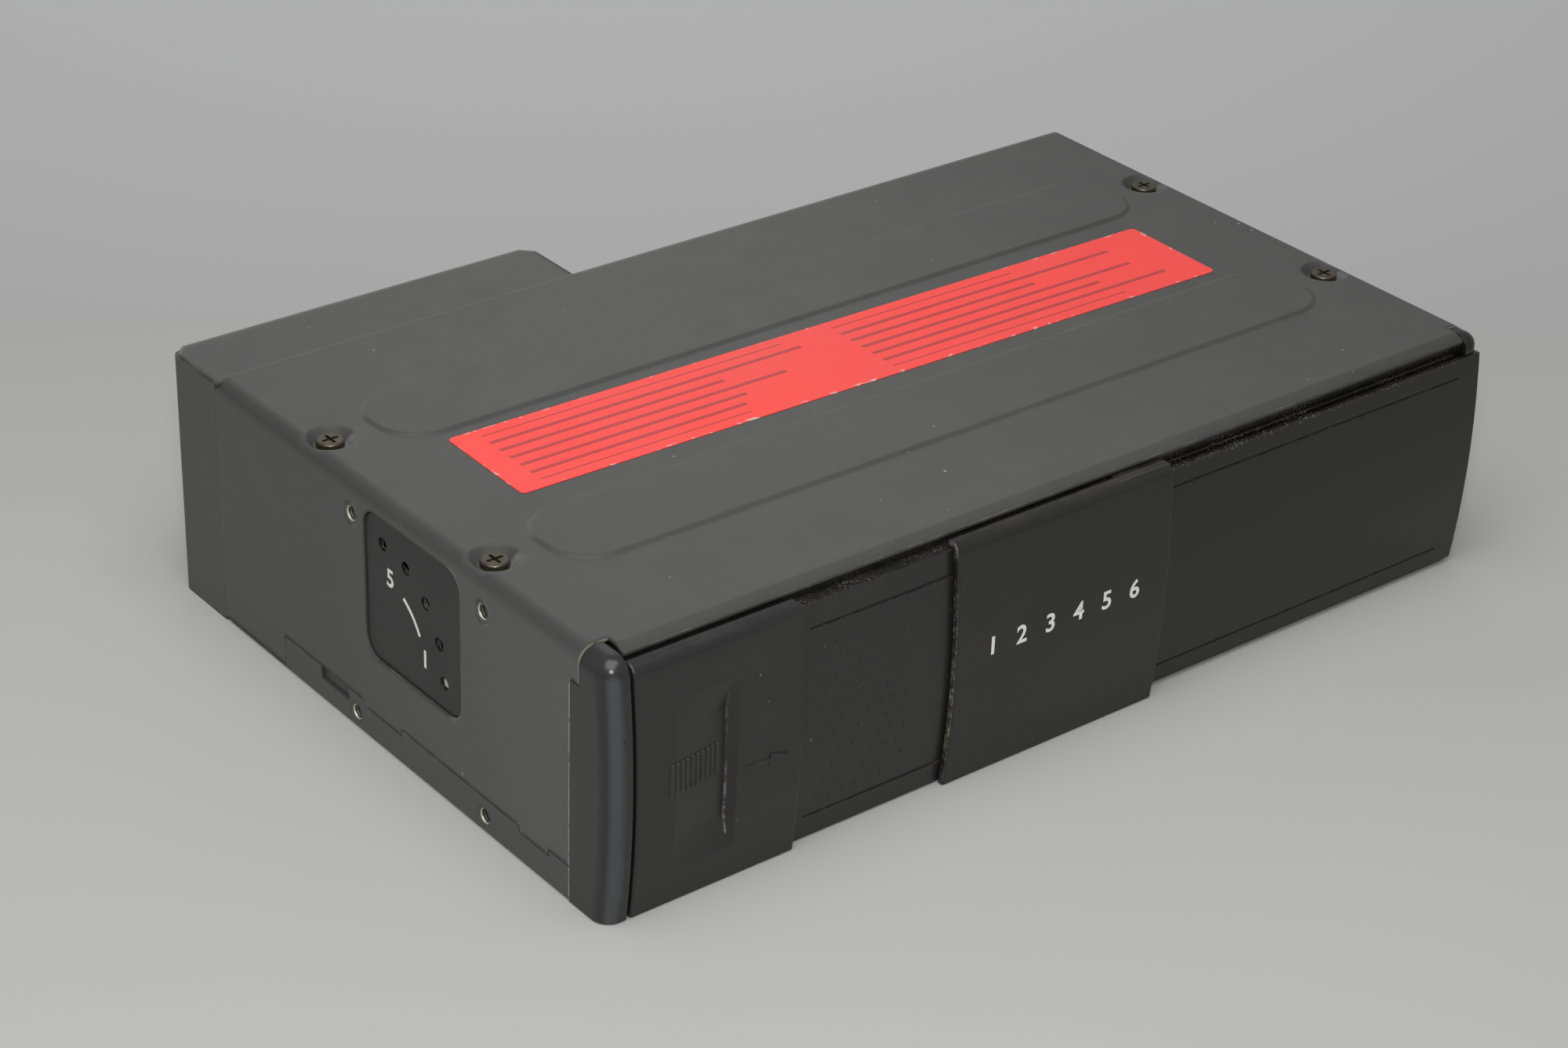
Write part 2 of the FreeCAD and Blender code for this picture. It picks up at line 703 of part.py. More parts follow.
def socket(z, size, pins):
    """A plug socket that looks out of the tail's side: a shroud with two rows of pins."""
    depth, width, height = size
    back = tail_x - depth
    y0, y1, z0, z1 = socket_y - width / 2, socket_y + width / 2, z - height / 2, z + height / 2
    shell = box(back, tail_x, y0, y1, z0, z1)
    rim = box(back, tail_x - tray_sheet - running_gap, y0 - socket_rim, y1 + socket_rim,
              z0 - socket_rim, z1 + socket_rim)
    mouth = box(back + socket_floor, tail_x + 1, y0 + socket_wall, y1 - socket_wall,
                z0 + socket_wall, z1 - socket_wall)
    step = (height - 2 * pin_margin) / (pins - 1)
    side = pin_width / 2
    stems = []
    for i in range(pins):
        pin_z = z0 + pin_margin + i * step
        for pin_y in (socket_y - width / 6, socket_y + width / 6):
            stems.append(box(back + socket_floor - bite, tail_x - pin_inset, pin_y - side, pin_y + side,
                             pin_z - side, pin_z + side))
    return fuse(cut(fuse(shell, rim), mouth), *stems)


def transit_plug(x, y):
    """A push-in plug for a transit screw hole, a little inside the tray's underside."""
    head = along_z(transit_hole_radius + transit_plug_rim, x, y, tray_sheet, tray_sheet + transit_plug_head)
    stem = along_z(transit_hole_radius - running_gap, x, y, transit_plug_recess,
                   tray_sheet + transit_plug_head / 2)
    return fuse(head, stem)


# ---------------------------------------------------------------- side frame, scale plate and adjuster
def adjuster_point(step):
    """Where the peg stands at a step, from 0 in front to the last above the pivot."""
    angle = math.radians(180 - step * adjuster_sweep / (adjuster_steps - 1))
    return adjuster_y + adjuster_radius * math.cos(angle), adjuster_z + adjuster_radius * math.sin(angle)


def side_frame():
    """The right frame. Its bosses pass through the cover and the tray's lip, flush with their faces."""
    inner = frame_x - frame_sheet
    y0, y1 = frame_y
    foot_z = tray_sheet + running_gap
    plate = box(inner, frame_x, y0, y1, foot_z, frame_top)
    foot = box(frame_x - frame_foot, frame_x, y0, y1, foot_z, foot_z + frame_sheet)
    lug_top = roof - dimple_depth - cover_sheet - running_gap
    lug_depth, lug_length = frame_lug
    parts, holes = [plate, foot], []
    for x, y in screw_points():
        parts.append(box(frame_x - lug_depth, frame_x, y - lug_length / 2, y + lug_length / 2,
                         lug_top - frame_sheet, lug_top))
        parts.append(box(inner, frame_x, y - lug_length / 2, y + lug_length / 2,
                         frame_top - frame_sheet, lug_top))
        holes.append(along_z(screw_shank_radius + running_gap, x, y, lug_top - 3, lug_top + 1))
    for y, z in mount_points():
        parts.append(along_x(mount_boss_radius, half - mount_boss_length, half, y, z))
        holes.append(along_x(mount_bore_radius, half - mount_boss_length - 1, half + 1, y, z))
        holes.append(Part.makeCone(mount_bore_radius, mount_bore_radius + 2 * mount_chamfer,
                                   2 * mount_chamfer,
                                   V(half - mount_chamfer, y, z), V(1, 0, 0)))
    lane = peg_radius + peg_lane
    ring = along_x(adjuster_radius + lane, inner - 1, frame_x + 1, adjuster_y, adjuster_z)
    ring = cut(ring, along_x(adjuster_radius - lane, inner - 2, frame_x + 2, adjuster_y, adjuster_z))
    reach = adjuster_radius + 10
    quarter = box(inner - 1, frame_x + 1, adjuster_y - reach, adjuster_y + lane,
                  adjuster_z - lane, adjuster_z + reach)
    holes.append(ring.common(quarter))
    holes.append(along_x(arm_stud_radius + running_gap, inner - 1, frame_x + 1, adjuster_y, adjuster_z))
    return cut(fuse(*parts), *holes)


def scale_plate():
    plate = scale_plate_form(frame_x, frame_x + scale_plate_thickness, 0)
    holes = [along_x(adjuster_hole_radius, frame_x - 1, half + 1,
                     *adjuster_point(i)) for i in range(adjuster_steps)]
    return cut(plate, *holes)


def adjuster_arm():
    """The right arm, at the front step, with a peg that shows through the scale plate."""
    inner = arm_x - arm_sheet
    hub = along_x(arm_hub_radius, inner, arm_x, adjuster_y, adjuster_z)
    end_y, end_z = adjuster_point(0)
    tip = along_x(arm_width / 2, inner, arm_x, end_y, end_z)
    bar = box(inner, arm_x, end_y, adjuster_y, end_z - arm_width / 2, end_z + arm_width / 2)
    stud = along_x(arm_stud_radius, inner, frame_x - 0.2, adjuster_y, adjuster_z)
    peg = along_x(peg_radius, inner, arm_x + peg_reach, end_y, end_z)
    post_y = adjuster_y - post_reach
    post = along_x(arm_post_radius, spring_x - arm_post_end, arm_x, post_y, end_z)
    return fuse(hub, tip, bar, stud, peg, post)


def float_spring():
    """The right spring, from the arm's post to the deck's pin: close turns and a loop at each end."""
    wire = spring_wire / 2
    loop = arm_post_radius + wire + running_gap
    post_y = adjuster_y - post_reach
    start = post_y + loop
    pitch = spring_wire * 1.2
    turns = int((post_reach - 2 * loop) / pitch)
    end = start + turns * pitch
    inner, groove = spring_radius - spring_wire, spring_radius - spring_wire / 3
    outline = [(inner, start)]
    for i in range(turns):
        outline += [(groove, start + i * pitch), (spring_radius, start + (i + 0.3) * pitch),
                    (spring_radius, start + (i + 0.7) * pitch)]
    outline += [(groove, end), (inner, end)]
    corners = [V(spring_x + x, y, adjuster_z) for x, y in outline]
    coil = Part.Face(Part.makePolygon(corners + corners[:1])).revolve(V(spring_x, 0, adjuster_z),
                                                                      V(0, 1, 0), 360)
    pieces, clear = [coil], []
    spans = ((post_y, start - wire, start + pitch), (adjuster_y, end - pitch, adjuster_y - loop + wire))
    for y, tie_start, tie_end in spans:
        pieces.append(along_x(loop + wire, spring_x - wire, spring_x + wire, y, adjuster_z))
        pieces.append(box(spring_x - wire, spring_x + wire, tie_start, tie_end,
                          adjuster_z - inner - running_gap,
                          adjuster_z + inner + running_gap))
        clear.append(along_x(loop - wire, spring_x - spring_radius, spring_x + spring_radius, y, adjuster_z))
    return cut(fuse(*pieces), *clear)


def roof_screw(x, y):
    floor = roof - dimple_depth
    head = along_z(screw_head_radius, x, y, floor, floor + screw_head_height)
    head = head.makeFillet(screw_head_edge, edges_where(
        head, lambda e: e.Vertexes[0].Z > floor + screw_head_edge))
    shank = along_z(screw_shank_radius, x, y, floor - screw_length, floor + screw_head_edge)
    top = floor + screw_head_height
    arm, side = cross_reach, cross_width / 2
    cross = [box(x - arm, x + arm, y - side, y + side, top - cross_depth, top + 1),
             box(x - side, x + side, y - arm, y + arm, top - cross_depth, top + 1)]
    return cut(fuse(head, shank), *cross)


# ---------------------------------------------------------------- bezel
# rear face of the channels that the door's hooks run in, ahead of the casing
rail_back = -face_y(panel_back, panel_z[0]) - hook_play - hook_thickness - channel_play


def rail_block(x0, x1, z0, z1, front, back):
    return box(x0, x1, -front, -back, z0, z1)


def bezel_tongue(x, grow):
    width, length, rise = tongue_size
    low = tray_sheet + 2 * running_gap
    return box(x - width / 2 - grow, x + width / 2 + grow, -1, length, low - grow, low + rise + grow)


def rounded_end(block, x, radius):
    """Rounds a bezel block's outer end: its front corner, its upper front edge and its upper side edge."""
    bounds = block.BoundBox

    def outer_edge(edge):
        ends = [v.Point for v in edge.Vertexes]
        at_end = all(abs(p.x - x) < 0.01 for p in ends)
        on_top = all(abs(p.z - bounds.ZMax) < 0.01 for p in ends)
        in_front = all(p.y < bounds.YMin + 3 for p in ends)
        upright = at_end and in_front and not on_top and edge.Length > 2
        return upright or at_end and on_top or on_top and in_front
    return block.makeFillet(radius, edges_where(block, outer_edge))


def front_bezel():
    low, high = panel_z
    upper_front = -face_y(panel_back, high) + bite      # how far the upper and lower rails reach ahead
    lower_front = -face_y(panel_back, low) + bite
    cheek_back = -cheek_nose - fit_gap                  # bezel parts stay ahead of the cover's cheeks
    inner_wall = half - cover_sheet - 2 * running_gap
    post = rounded_end(bowed_block(-half, post_x, post_foot, bezel_height, 0, 0), -half, bezel_edge)
    post = cut(post, box(-half - 1, post_x + 1, cheek_back, 1, cheek_nose_height - fit_gap, roof + 1))
    top_seat = high - hook_drop - channel_play
    foot_seat = low + hook_drop + channel_play
    rail_end = panel_right - 1.2
    parts = [post,
             bowed(post_x, panel_right, window_z[1], high, panel_front, panel_back),
             bowed(post_x, panel_right, low, window_z[0], panel_front, panel_back),
             bowed(panel_x, panel_right, low, high, panel_front, panel_back),
             rail_block(post_x, rail_end, window_z[1], top_seat, upper_front, 0),
             rail_block(post_x, rail_end, top_seat, high, rail_back, 0),
             rail_block(post_x, rail_end, foot_seat, window_z[0], lower_front, 0),
             rail_block(post_x, rail_end, post_foot, foot_seat, rail_back, 0),
             rail_block(post_x, nose_x[1] - 1, high, ledge_top, rail_back - 0.2, ledge_back),
             rail_block(post_x - 1, inner_wall, window_z[1], high, cover_sheet, 0),
             rail_block(panel_right - 2, panel_right, post_foot, cheek_nose_height, rail_back + 0.5, 0)]
    # the block above the panel's right end, and the panel's own solid, rounded end
    corner = box(nose_x[1] + fit_gap, half, -cover_nose - 1.1, cheek_back, high + bite, bezel_height)
    parts.append(rounded_end(corner, half, corner_edge))
    parts.append(box(nose_x[1] - 1, panel_right - 2, -rail_back, cheek_back, high - 1, ledge_top))
    width, edge = panel_end
    end_x = panel_right + 0.1
    end = bowed_block(end_x - width, end_x, low, high, panel_front, cheek_back)
    parts.append(end.makeFillet(edge, edges_where(
        end, lambda e: all(abs(v.X - end_x) < 0.01 for v in e.Vertexes) and e.Vertexes[0].Y < -rail_back
        and e.Length > (high - low) / 2)))
    # the fascia beside the magazine, and the wing that joins it to the panel
    wing_low, wing_high = window_z[0] - 1, window_z[1] + 1
    parts.append(box(fascia_x, wing_x + wing_width, -fascia_depth, 0, wing_low, wing_high))
    parts.append(bowed_block(wing_x, wing_x + wing_width, wing_low, wing_high, panel_back - bite, 0))
    parts.extend(bezel_tongue(x, 0) for x in tongue_x)
    thick, reach = tab_size
    for sign in (-1, 1):
        a, b = sorted((sign * inner_wall, sign * (inner_wall - thick)))
        parts.append(box(a, b, -2, reach, *tab_z))
    bx0, bx1 = button_x
    bz0, bz1 = button_z
    play = running_gap * 2
    tools = [box(bx0 - play, bx1 + play, -fascia_depth - 1, 1, bz0 - play, bz1 + play),
             box(inner_wall, half + 1, cheek_back, 1, cheek_nose_height - fit_gap, roof + 1)]
    for z in groove_z:
        y = face_y(panel_front, z)
        tools.append(box(middle_end + groove_inset[0], nose_x[1] - 2, y - 1, y + groove_depth,
                         z - groove_width / 2, z + groove_width / 2))
    return cut(fuse(*parts), *tools)


def leaf_shell(x0, x1, back_depth):
    """A raised leaf: a bowed wall with a rounded upper edge and a flange on top."""
    low, high = leaf_z
    flange = -leaf_back - face_y(0, high)
    wall = bowed_block(x0, x1, low, high, 0, -leaf_back)
    wall = wall.makeFillet(min(leaf_edge, flange - 0.2), edges_where(
        wall, lambda e: (runs_along_x(e) and e.Vertexes[0].Z > high - 0.1
                         and e.Vertexes[0].Y < -leaf_back - 1)))
    wall = wall.makeFillet(leaf_side_edge, edges_where(
        wall, lambda e: all(v.Y < -leaf_back - 0.5 for v in e.Vertexes) and not runs_along_x(e)))
    room = bowed_block(x0 - 1, x1 + 1, low - 1, high - leaf_top_wall, back_depth, 0)
    return cut(wall, room)


def hooked_slab(x0, x1):
    """The recessed leaf: a bowed wall with flanges and hooks that run in the bezel's channels."""
    low, high = slab_z
    parts = [bowed(x0, x1, low, high, slab_front, slab_back)]
    hook_back = rail_back + channel_play
    for z, inward in ((low, 1), (high, -1)):
        z0, z1 = sorted((z, z + inward * slab_flange))
        parts.append(box(x0, x1, face_y(slab_front + 0.2, z + inward * 0.5), -hook_back, z0, z1))
        z0, z1 = sorted((z, z + inward * (slab_flange + hook_drop)))
        parts.append(box(x0, x1, -hook_back - hook_thickness, -hook_back, z0, z1))
    return fuse(*parts)


def scoop_floor(x):
    """How deep the scoop's floor lies at a place along the leaf; negative left of it."""
    start, deepest = (door_x + s for s in scoop_x)
    return scoop_depth * (x - start) / (deepest - start)


def scoop_section(x, depth):
    """The scoop's outline across the leaf: a bowed floor with a slope at each end, open to the front."""
    low, high = scoop_z
    z0, z1 = low + scoop_ends, high - scoop_ends
    middle, out = (low + high) / 2, face_y(0, face_middle) - 3
    foot, head = V(x, face_y(0, low), low), V(x, face_y(0, high), high)
    inner = [V(x, face_y(depth, z), z) for z in (z0, middle, z1)]
    rim = Part.makePolygon([head, V(x, out, high), V(x, out, low), foot]).Edges
    floor = [Part.makeLine(foot, inner[0]), Part.Arc(*inner).toShape(), Part.makeLine(inner[2], head)]
    return Part.Wire(floor + rim)


def scoop_tool():
    """A finger scoop that deepens to the right and ends in a steep wall."""
    start, deepest = (door_x + s for s in scoop_x)
    slope = [scoop_section(start, 0), scoop_section(deepest, scoop_depth)]
    wall = [scoop_section(deepest, scoop_depth), scoop_section(deepest + scoop_wall, 0)]
    return fuse(Part.makeLoft(slope, True, True), Part.makeLoft(wall, True, True))


def grip_door():
    slab = hooked_slab(door_x + fit_gap, slab_end)
    head = leaf_shell(door_x, head_end, slab_front + 0.1)
    body = cut(fuse(slab, head), scoop_tool())
    rib_x, rib_z, rib_y = grip_rib_size
    rib_middle = face_middle + grip_rib_rise
    parts = []
    for i in range(grip_ribs):
        x = door_x + grip_rib_start + i * grip_rib_pitch
        y = face_y(0, rib_middle) + max(0, scoop_floor(x))
        parts.append(box(x, x + rib_x, y - rib_y, y + bite, rib_middle - rib_z / 2, rib_middle + rib_z / 2))
    length, width, rise = arrow_size
    stem_length, stem_width = arrow_stem
    x, y, z = head_end - arrow_inset, face_y(0, face_middle), face_middle - arrow_fall
    parts.append(prism([(x, y - rise, z - width / 2), (x, y - rise, z + width / 2),
                        (x + length, y - rise, z)],
                       (0, rise + bite, 0)))
    parts.append(box(x - stem_length, x + bite, y - rise, y + bite, z - stem_width / 2, z + stem_width / 2))
    step_x, step_z = dot_pitch
    for row in range(dot_rows):
        for column in range(dot_columns):
            x = head_end + dot_inset + column * step_x + (row % 2) * step_x / 2
            z = face_middle + (row - (dot_rows - 1) / 2) * step_z
            y = face_y(slab_front, z)
            parts.append(along_y(dot_radius, x, y - dot_height, y + bite, z))
    tools = []
    for z in groove_z:
        y = face_y(slab_front, z)
        tools.append(box(head_end + groove_inset[0], slab_end - 1.0, y - 1, y + groove_depth,
                         z - groove_width / 2, z + groove_width / 2))
    return cut(fuse(body, *parts), *tools)


def centre_door():
    shell = leaf_shell(middle_x, middle_end, leaf_thickness)
    low, high = slab_z
    hook_back = rail_back + channel_play
    start = middle_end - middle_hook
    parts = [shell]
    for z, inward, edge in ((low, 1, leaf_z[0]), (high, -1, leaf_z[1])):
        z0, z1 = sorted((edge, z + inward * slab_flange))
        top_gap = 0.2 if inward < 0 else 0
        parts.append(box(start, middle_end, face_y(leaf_thickness - 0.3, z + inward), -hook_back,
                         z0, z1 - top_gap if inward < 0 and z1 == edge else z1))
        z0, z1 = sorted((z, z + inward * (slab_flange + hook_drop)))
        parts.append(box(start, middle_end, -hook_back - hook_thickness, -hook_back, z0, z1))
    return fuse(*parts)


def eject_button():
    x0, x1 = button_x
    z0, z1 = button_z
    cap = box(x0, x1, -button_front, button_flange, z0, z1)
    cap = cap.makeFillet(button_edge, edges_where(cap, lambda e: e.Vertexes[0].Y < -button_front + 0.01
                                          and e.Vertexes[-1].Y < -button_front + 0.01))
    dx, dz = button_flange_reach
    flange = box(x0 - dx, x1 + dx, 2 * running_gap, button_flange, z0 - dz, z1 + dz)
    return fuse(cap, flange)


# ---------------------------------------------------------------- inner deck and magazine
def deck():
    y0, y1 = deck_y
    floor = box(-deck_x, deck_x, y0, y1, deck_z, deck_z + deck_sheet)
    (wx0, wx1), (wy0, wy1) = deck_window
    floor = cut(floor, box(wx0, wx1, wy0, wy1, 0, carriage_z))
    parts = [floor]
    for sign in (-1, 1):
        a, b = sorted((sign * deck_x, sign * (deck_x - deck_sheet)))
        parts.append(box(a, b, y0, y1, deck_z, deck_top))
        for y in damper_y:
            parts.append(along_x(damper_pin_radius, sign * (deck_x - bite),
                                 sign * (deck_x + damper_pin_length), y, damper_z))
        parts.append(along_x(arm_post_radius, sign * (deck_x - bite), sign * (spring_x + arm_post_end),
                             adjuster_y, adjuster_z))
    for x0, x1 in rail_x:
        parts.append(box(x0, x1, y0 + rail_ends[0], y1 - rail_ends[1], deck_z, magazine_rise))
    x0, x1 = lift_wall_x
    reach = lift_travel + lift_pin_radius + slot_play
    for y, sign in zip(lift_wall_y, (1, -1)):
        a, b = sorted((y, y + sign * deck_sheet))
        wall = box(x0, x1, a, b, deck_z, lift_wall_top)
        slots = [box(x - lift_pin_radius - slot_play, x + lift_pin_radius + slot_play, a - 1, b + 1,
                     lift_pin_z - lift_pin_radius - slot_play, lift_pin_z + reach) for x in lift_pin_x]
        parts.append(cut(wall, *slots))
    return fuse(*parts)


def damper(sign, y):
    inner = frame_x - frame_sheet
    body = along_x(damper_radius, sign * (inner - damper_length), sign * inner, y, damper_z)
    bore = along_x(damper_pin_radius + running_gap / 2, sign * (inner - damper_length - 1),
                   sign * (deck_x + damper_pin_length), y, damper_z)
    return cut(body, bore)


def magazine_case():
    x0, x1 = magazine_x, magazine_end
    y0, y1 = magazine_y
    w = magazine_wall
    z0, z1 = magazine_rise, magazine_top
    shell = box(x0, x1, y0, y1, z0, z1)
    shell = shell.makeFillet(magazine_edge, edges_where(
        shell, lambda e: e.Vertexes[0].Y < y0 + 0.01 and e.Vertexes[-1].Y < y0 + 0.01))
    room = box(x0 + w, x1 + 1, y0 + w, y1 - w, z0 + w, z1 - w)
    shelves = []
    for i in range(1, tray_count):
        z = magazine_floor + i * tray_pitch - shelf_thickness - tray_seat
        for a, b in ((y0 + w - bite, y0 + w + shelf_reach), (y1 - w - shelf_reach, y1 - w + bite)):
            shelves.append(box(x0 + w - bite, x1 - shelf_inset, a, b, z, z + shelf_thickness))
    groove, depth = finger_groove
    inset, margin = finger_groove_inset
    grip = []
    for i in range(5):
        x = x1 - inset - i * finger_groove_pitch
        grip.append(box(x - groove, x, y0 - 1, y0 + depth, z0 + margin, z1 - margin))
    return cut(fuse(cut(shell, room), *shelves), *grip)


def magazine_tray(level):
    foot = magazine_floor + level * tray_pitch - tray_seat
    top = foot + tray_thickness
    x0, x1 = magazine_x + magazine_wall + fit_gap, disc_x + disc_radius + tray_end
    y0, y1 = disc_y - disc_radius - tray_rim, disc_y + disc_radius + tray_rim
    plate = box(x0, x1, y0, y1, foot, top)
    dish = along_z(disc_radius + disc_play, disc_x, disc_y, top - recess_depth, top + 1)
    hub = along_z(hub_hole_radius, disc_x, disc_y, foot - 1, top + 1)
    slot = box(disc_x, x1 + 1, disc_y - tray_slot_width / 2, disc_y + tray_slot_width / 2, foot - 1, top + 1)
    return cut(plate, dish, hub, slot)


# ---------------------------------------------------------------- lift and player
def lift_slide(front):
    """A plate with two sloping slots that raise the carriage's pins as it slides."""
    x0, x1 = slide_x
    z0, z1 = slide_z
    y0 = slide_front if front else lift_wall_y[1] - deck_sheet - fit_gap - slide_sheet
    plate = box(x0, x1, y0, y0 + slide_sheet, z0, z1)
    radius = lift_pin_radius + slot_play
    tools = []
    for x in lift_pin_x:
        ends = [(x, lift_pin_z), (x - slide_travel, lift_pin_z + lift_travel)]
        for ex, ez in ends:
            tools.append(along_y(radius, ex, y0 - 1, y0 + slide_sheet + 1, ez))
        (ax, az), (bx, bz) = ends
        run = math.hypot(bx - ax, bz - az)
        nx, nz = -(bz - az) / run * radius, (bx - ax) / run * radius
        tools.append(prism([(ax + nx, y0 - 1, az + nz), (bx + nx, y0 - 1, bz + nz),
                            (bx - nx, y0 - 1, bz - nz), (ax - nx, y0 - 1, az - nz)],
                           (0, slide_sheet + 2, 0)))
    plate = cut(plate, *tools)
    if not front:
        return plate
    pitch = math.pi * rack_module
    first = -int((x1 - rack_inset - pinion_x) / pitch)
    last = int((pinion_x - x0 - rack_inset) / pitch)
    return fuse(plate, *[rack_tooth(pinion_x - i * pitch, y0, z1) for i in range(first, last + 1)])


def rack_tooth(x, y, base):
    thick = math.pi * rack_module / 2 - rack_backlash
    foot, tip, height = thick / 2 + tooth_taper, thick / 2 - tooth_taper, 1.8 * rack_module
    return prism([(x - foot, y, base - bite), (x + foot, y, base - bite), (x + tip, y, base + height),
                  (x - tip, y, base + height)], (0, slide_sheet, 0))


def lift_pinion():
    y0, y1 = slide_front, slide_front + slide_sheet
    root = pitch_radius - 1.15 * rack_module
    hub = along_y(root, pinion_x, y0, y1, pinion_z)
    thick = math.pi * rack_module / 2 - rack_backlash
    foot, tip = thick / 2 + tooth_taper / 2, thick / 4
    low, high = pinion_z + root - bite, pinion_z + pitch_radius + 0.75 * rack_module
    teeth = []
    for i in range(pinion_teeth):
        tooth = prism([(pinion_x - foot, y0, low), (pinion_x + foot, y0, low), (pinion_x + tip, y0, high),
                       (pinion_x - tip, y0, high)], (0, slide_sheet, 0))
        tooth.rotate(V(pinion_x, y0, pinion_z), V(0, 1, 0), (i + 0.5) * 360 / pinion_teeth)
        teeth.append(tooth)
    shaft = along_y(shaft_radius, pinion_x, y0, lift_motor_y + shaft_engagement, pinion_z)
    return fuse(hub, shaft, *teeth)


def lift_motor():
    y0, y1 = lift_motor_y, lift_motor_y + lift_motor_length
    body = along_y(lift_motor_radius, pinion_x, y0, y1, pinion_z)
    return cut(body, along_y(shaft_radius + running_gap, pinion_x, y0 - 1, y0 + shaft_engagement + 0.5,
                             pinion_z))


def motor_bracket():
    """Stands on the front lift wall's upper edge and carries the lift's motor from above."""
    wall_y = lift_wall_y[0]
    foot = pinion_z + lift_motor_radius
    top = foot + deck_sheet
    x0, x1 = pinion_x - bracket_width / 2, pinion_x + bracket_width / 2
    bridge = box(x0, x1, wall_y, lift_motor_y + bracket_reach, foot, top)
    skirt = box(x0, x1, wall_y, wall_y + deck_sheet, lift_wall_top, top)
    return fuse(bridge, skirt)


def carriage():
    x0, x1 = carriage_x
    y0, y1 = carriage_y
    plate = box(x0, x1, y0, y1, carriage_z, carriage_top)
    low, high = carriage_z - 1, carriage_top + 1
    slot_width, slot_start = pickup_slot
    tools = [along_z(spindle_radius + spindle_clearance, player_x, disc_y, low, high),
             box(player_x - slot_width / 2, player_x + slot_width / 2, y0 + slot_start,
                 disc_y - turntable_radius - 1, low, high),
             box(screw_x - sled_motor_radius - 1, screw_x + sled_motor_radius + 1, sled_motor_y - 1,
                 sled_motor_y + sled_motor_length + 1, low, high)]
    parts = [plate]
    block_width, block_depth, block_drop = rod_block
    for x in rod_x:
        for y in rod_y:
            parts.append(box(x - block_width / 2, x + block_width / 2, y - block_depth / 2,
                             y + block_depth / 2,
                             rod_z - block_drop, carriage_z + bite))
            tools.append(along_y(rod_radius, x, y - block_depth, y + block_depth, rod_z))
    post_width_x, post_width_y = clamp_post
    top = clamp_arm_z + clamp_arm_thickness + post_clearance
    side = clamp_arm_width / 2 + fit_gap
    for sign in (-1, 1):
        a, b = sorted((disc_y + sign * side, disc_y + sign * (side + post_width_y)))
        parts.append(box(x1 - post_width_x, x1, a, b, carriage_z, top))
    span = side + post_width_y + 1
    tools.append(along_y(clamp_pin_radius, clamp_pin_x, disc_y - span, disc_y + span, clamp_pin_z))
    lug_width, lug_depth, lug_rise = lug_size
    for x in lift_pin_x:
        for y in (y0, y1 - lug_depth):
            parts.append(box(x - lug_width / 2, x + lug_width / 2, y, y + lug_depth, carriage_z,
                             lift_pin_z + lug_rise))
            tools.append(along_y(lift_pin_radius, x, y - 1, y + lug_depth + 1, lift_pin_z))
    return cut(fuse(*parts), *tools)


def lift_pins():
    depth = lug_size[1]
    spans = ((lift_wall_y[0] - lift_pin_end, carriage_y[0] + depth),
             (carriage_y[1] - depth, lift_wall_y[1] + lift_pin_end))
    return [along_y(lift_pin_radius, x, a, b, lift_pin_z) for x in lift_pin_x for a, b in spans]


def guide_rods():
    end = rod_block[1] / 2
    return [along_y(rod_radius, x, rod_y[0] - end, rod_y[1] + end, rod_z) for x in rod_x]


def spindle_motor():
    body = along_z(motor_radius, player_x, disc_y, carriage_z - motor_height, carriage_z)
    return cut(body, along_z(spindle_radius + running_gap, player_x, disc_y,
                             carriage_z - spindle_depth - 0.5, carriage_z + 1))


def turntable():
    base = carriage_top + fit_gap
    disc = along_z(turntable_radius, player_x, disc_y, base, turntable_top)
    cone = Part.makeCone(cone_radius, cone_radius - cone_height, cone_height,
                         V(player_x, disc_y, turntable_top))
    shaft = along_z(spindle_radius, player_x, disc_y, carriage_z - spindle_depth, base + bite)
    return fuse(disc, cone, shaft)


def sled():
    """The pickup's sled, with a tower for the lens, sleeves on the guide rods and a nut on the screw."""
    width, length, height = sled_size
    tower_width, tower_inset = sled_tower
    nut_width, nut_inset, nut_height = nut_size
    x0 = rod_x[0] - sled_overhang
    y0, y1 = sled_start - length / 2, sled_start + length / 2
    z0, z1 = rod_z - height / 2, rod_z + height / 2
    body = box(x0, x0 + width, y0, y1, z0, z1)
    tower = box(player_x - tower_width / 2, player_x + tower_width / 2, y0 + tower_inset, y1 - tower_inset,
                z1 - bite, carriage_top - lens_seat)
    nut = box(screw_x - nut_width / 2, screw_x + nut_width / 2, y0 + nut_inset, y1 - nut_inset,
              rod_z - nut_height / 2, rod_z + nut_height / 2)
    tools = [along_y(rod_radius + running_gap, x, y0 - 1, y1 + 1, rod_z) for x in rod_x]
    tools.append(along_y(screw_radius + running_gap, screw_x, y0 - 1, y1 + 1, rod_z))
    return cut(fuse(body, tower, nut), *tools)


def lens():
    base = carriage_top - lens_seat
    return along_z(lens_radius, player_x, sled_start, base, base + lens_height)


def sled_motor():
    y0 = sled_motor_y
    clip_width, clip_start, clip_length = sled_motor_clip
    body = along_y(sled_motor_radius, screw_x, y0, y0 + sled_motor_length, rod_z)
    clip = box(screw_x - clip_width / 2, screw_x + clip_width / 2, y0 + clip_start,
               y0 + clip_start + clip_length,
               rod_z, carriage_z)
    bore = along_y(screw_radius + running_gap, screw_x, y0 - 1, y0 + sled_motor_gap, rod_z)
    return cut(fuse(body, clip), bore)


def sled_screw():
    """A thread of close rings stands in for the screw's helix."""
    start, end = rod_y
    core = along_y(screw_radius - thread_depth, screw_x, start, sled_motor_y + shaft_engagement, rod_z)
    count = int((end - start - screw_pitch) / screw_pitch)
    rings = []
    for i in range(count):
        y = start + (i + 0.5) * screw_pitch
        rings.append(along_y(screw_radius, screw_x, y, y + screw_pitch / 2, rod_z))
    return fuse(core, *rings)


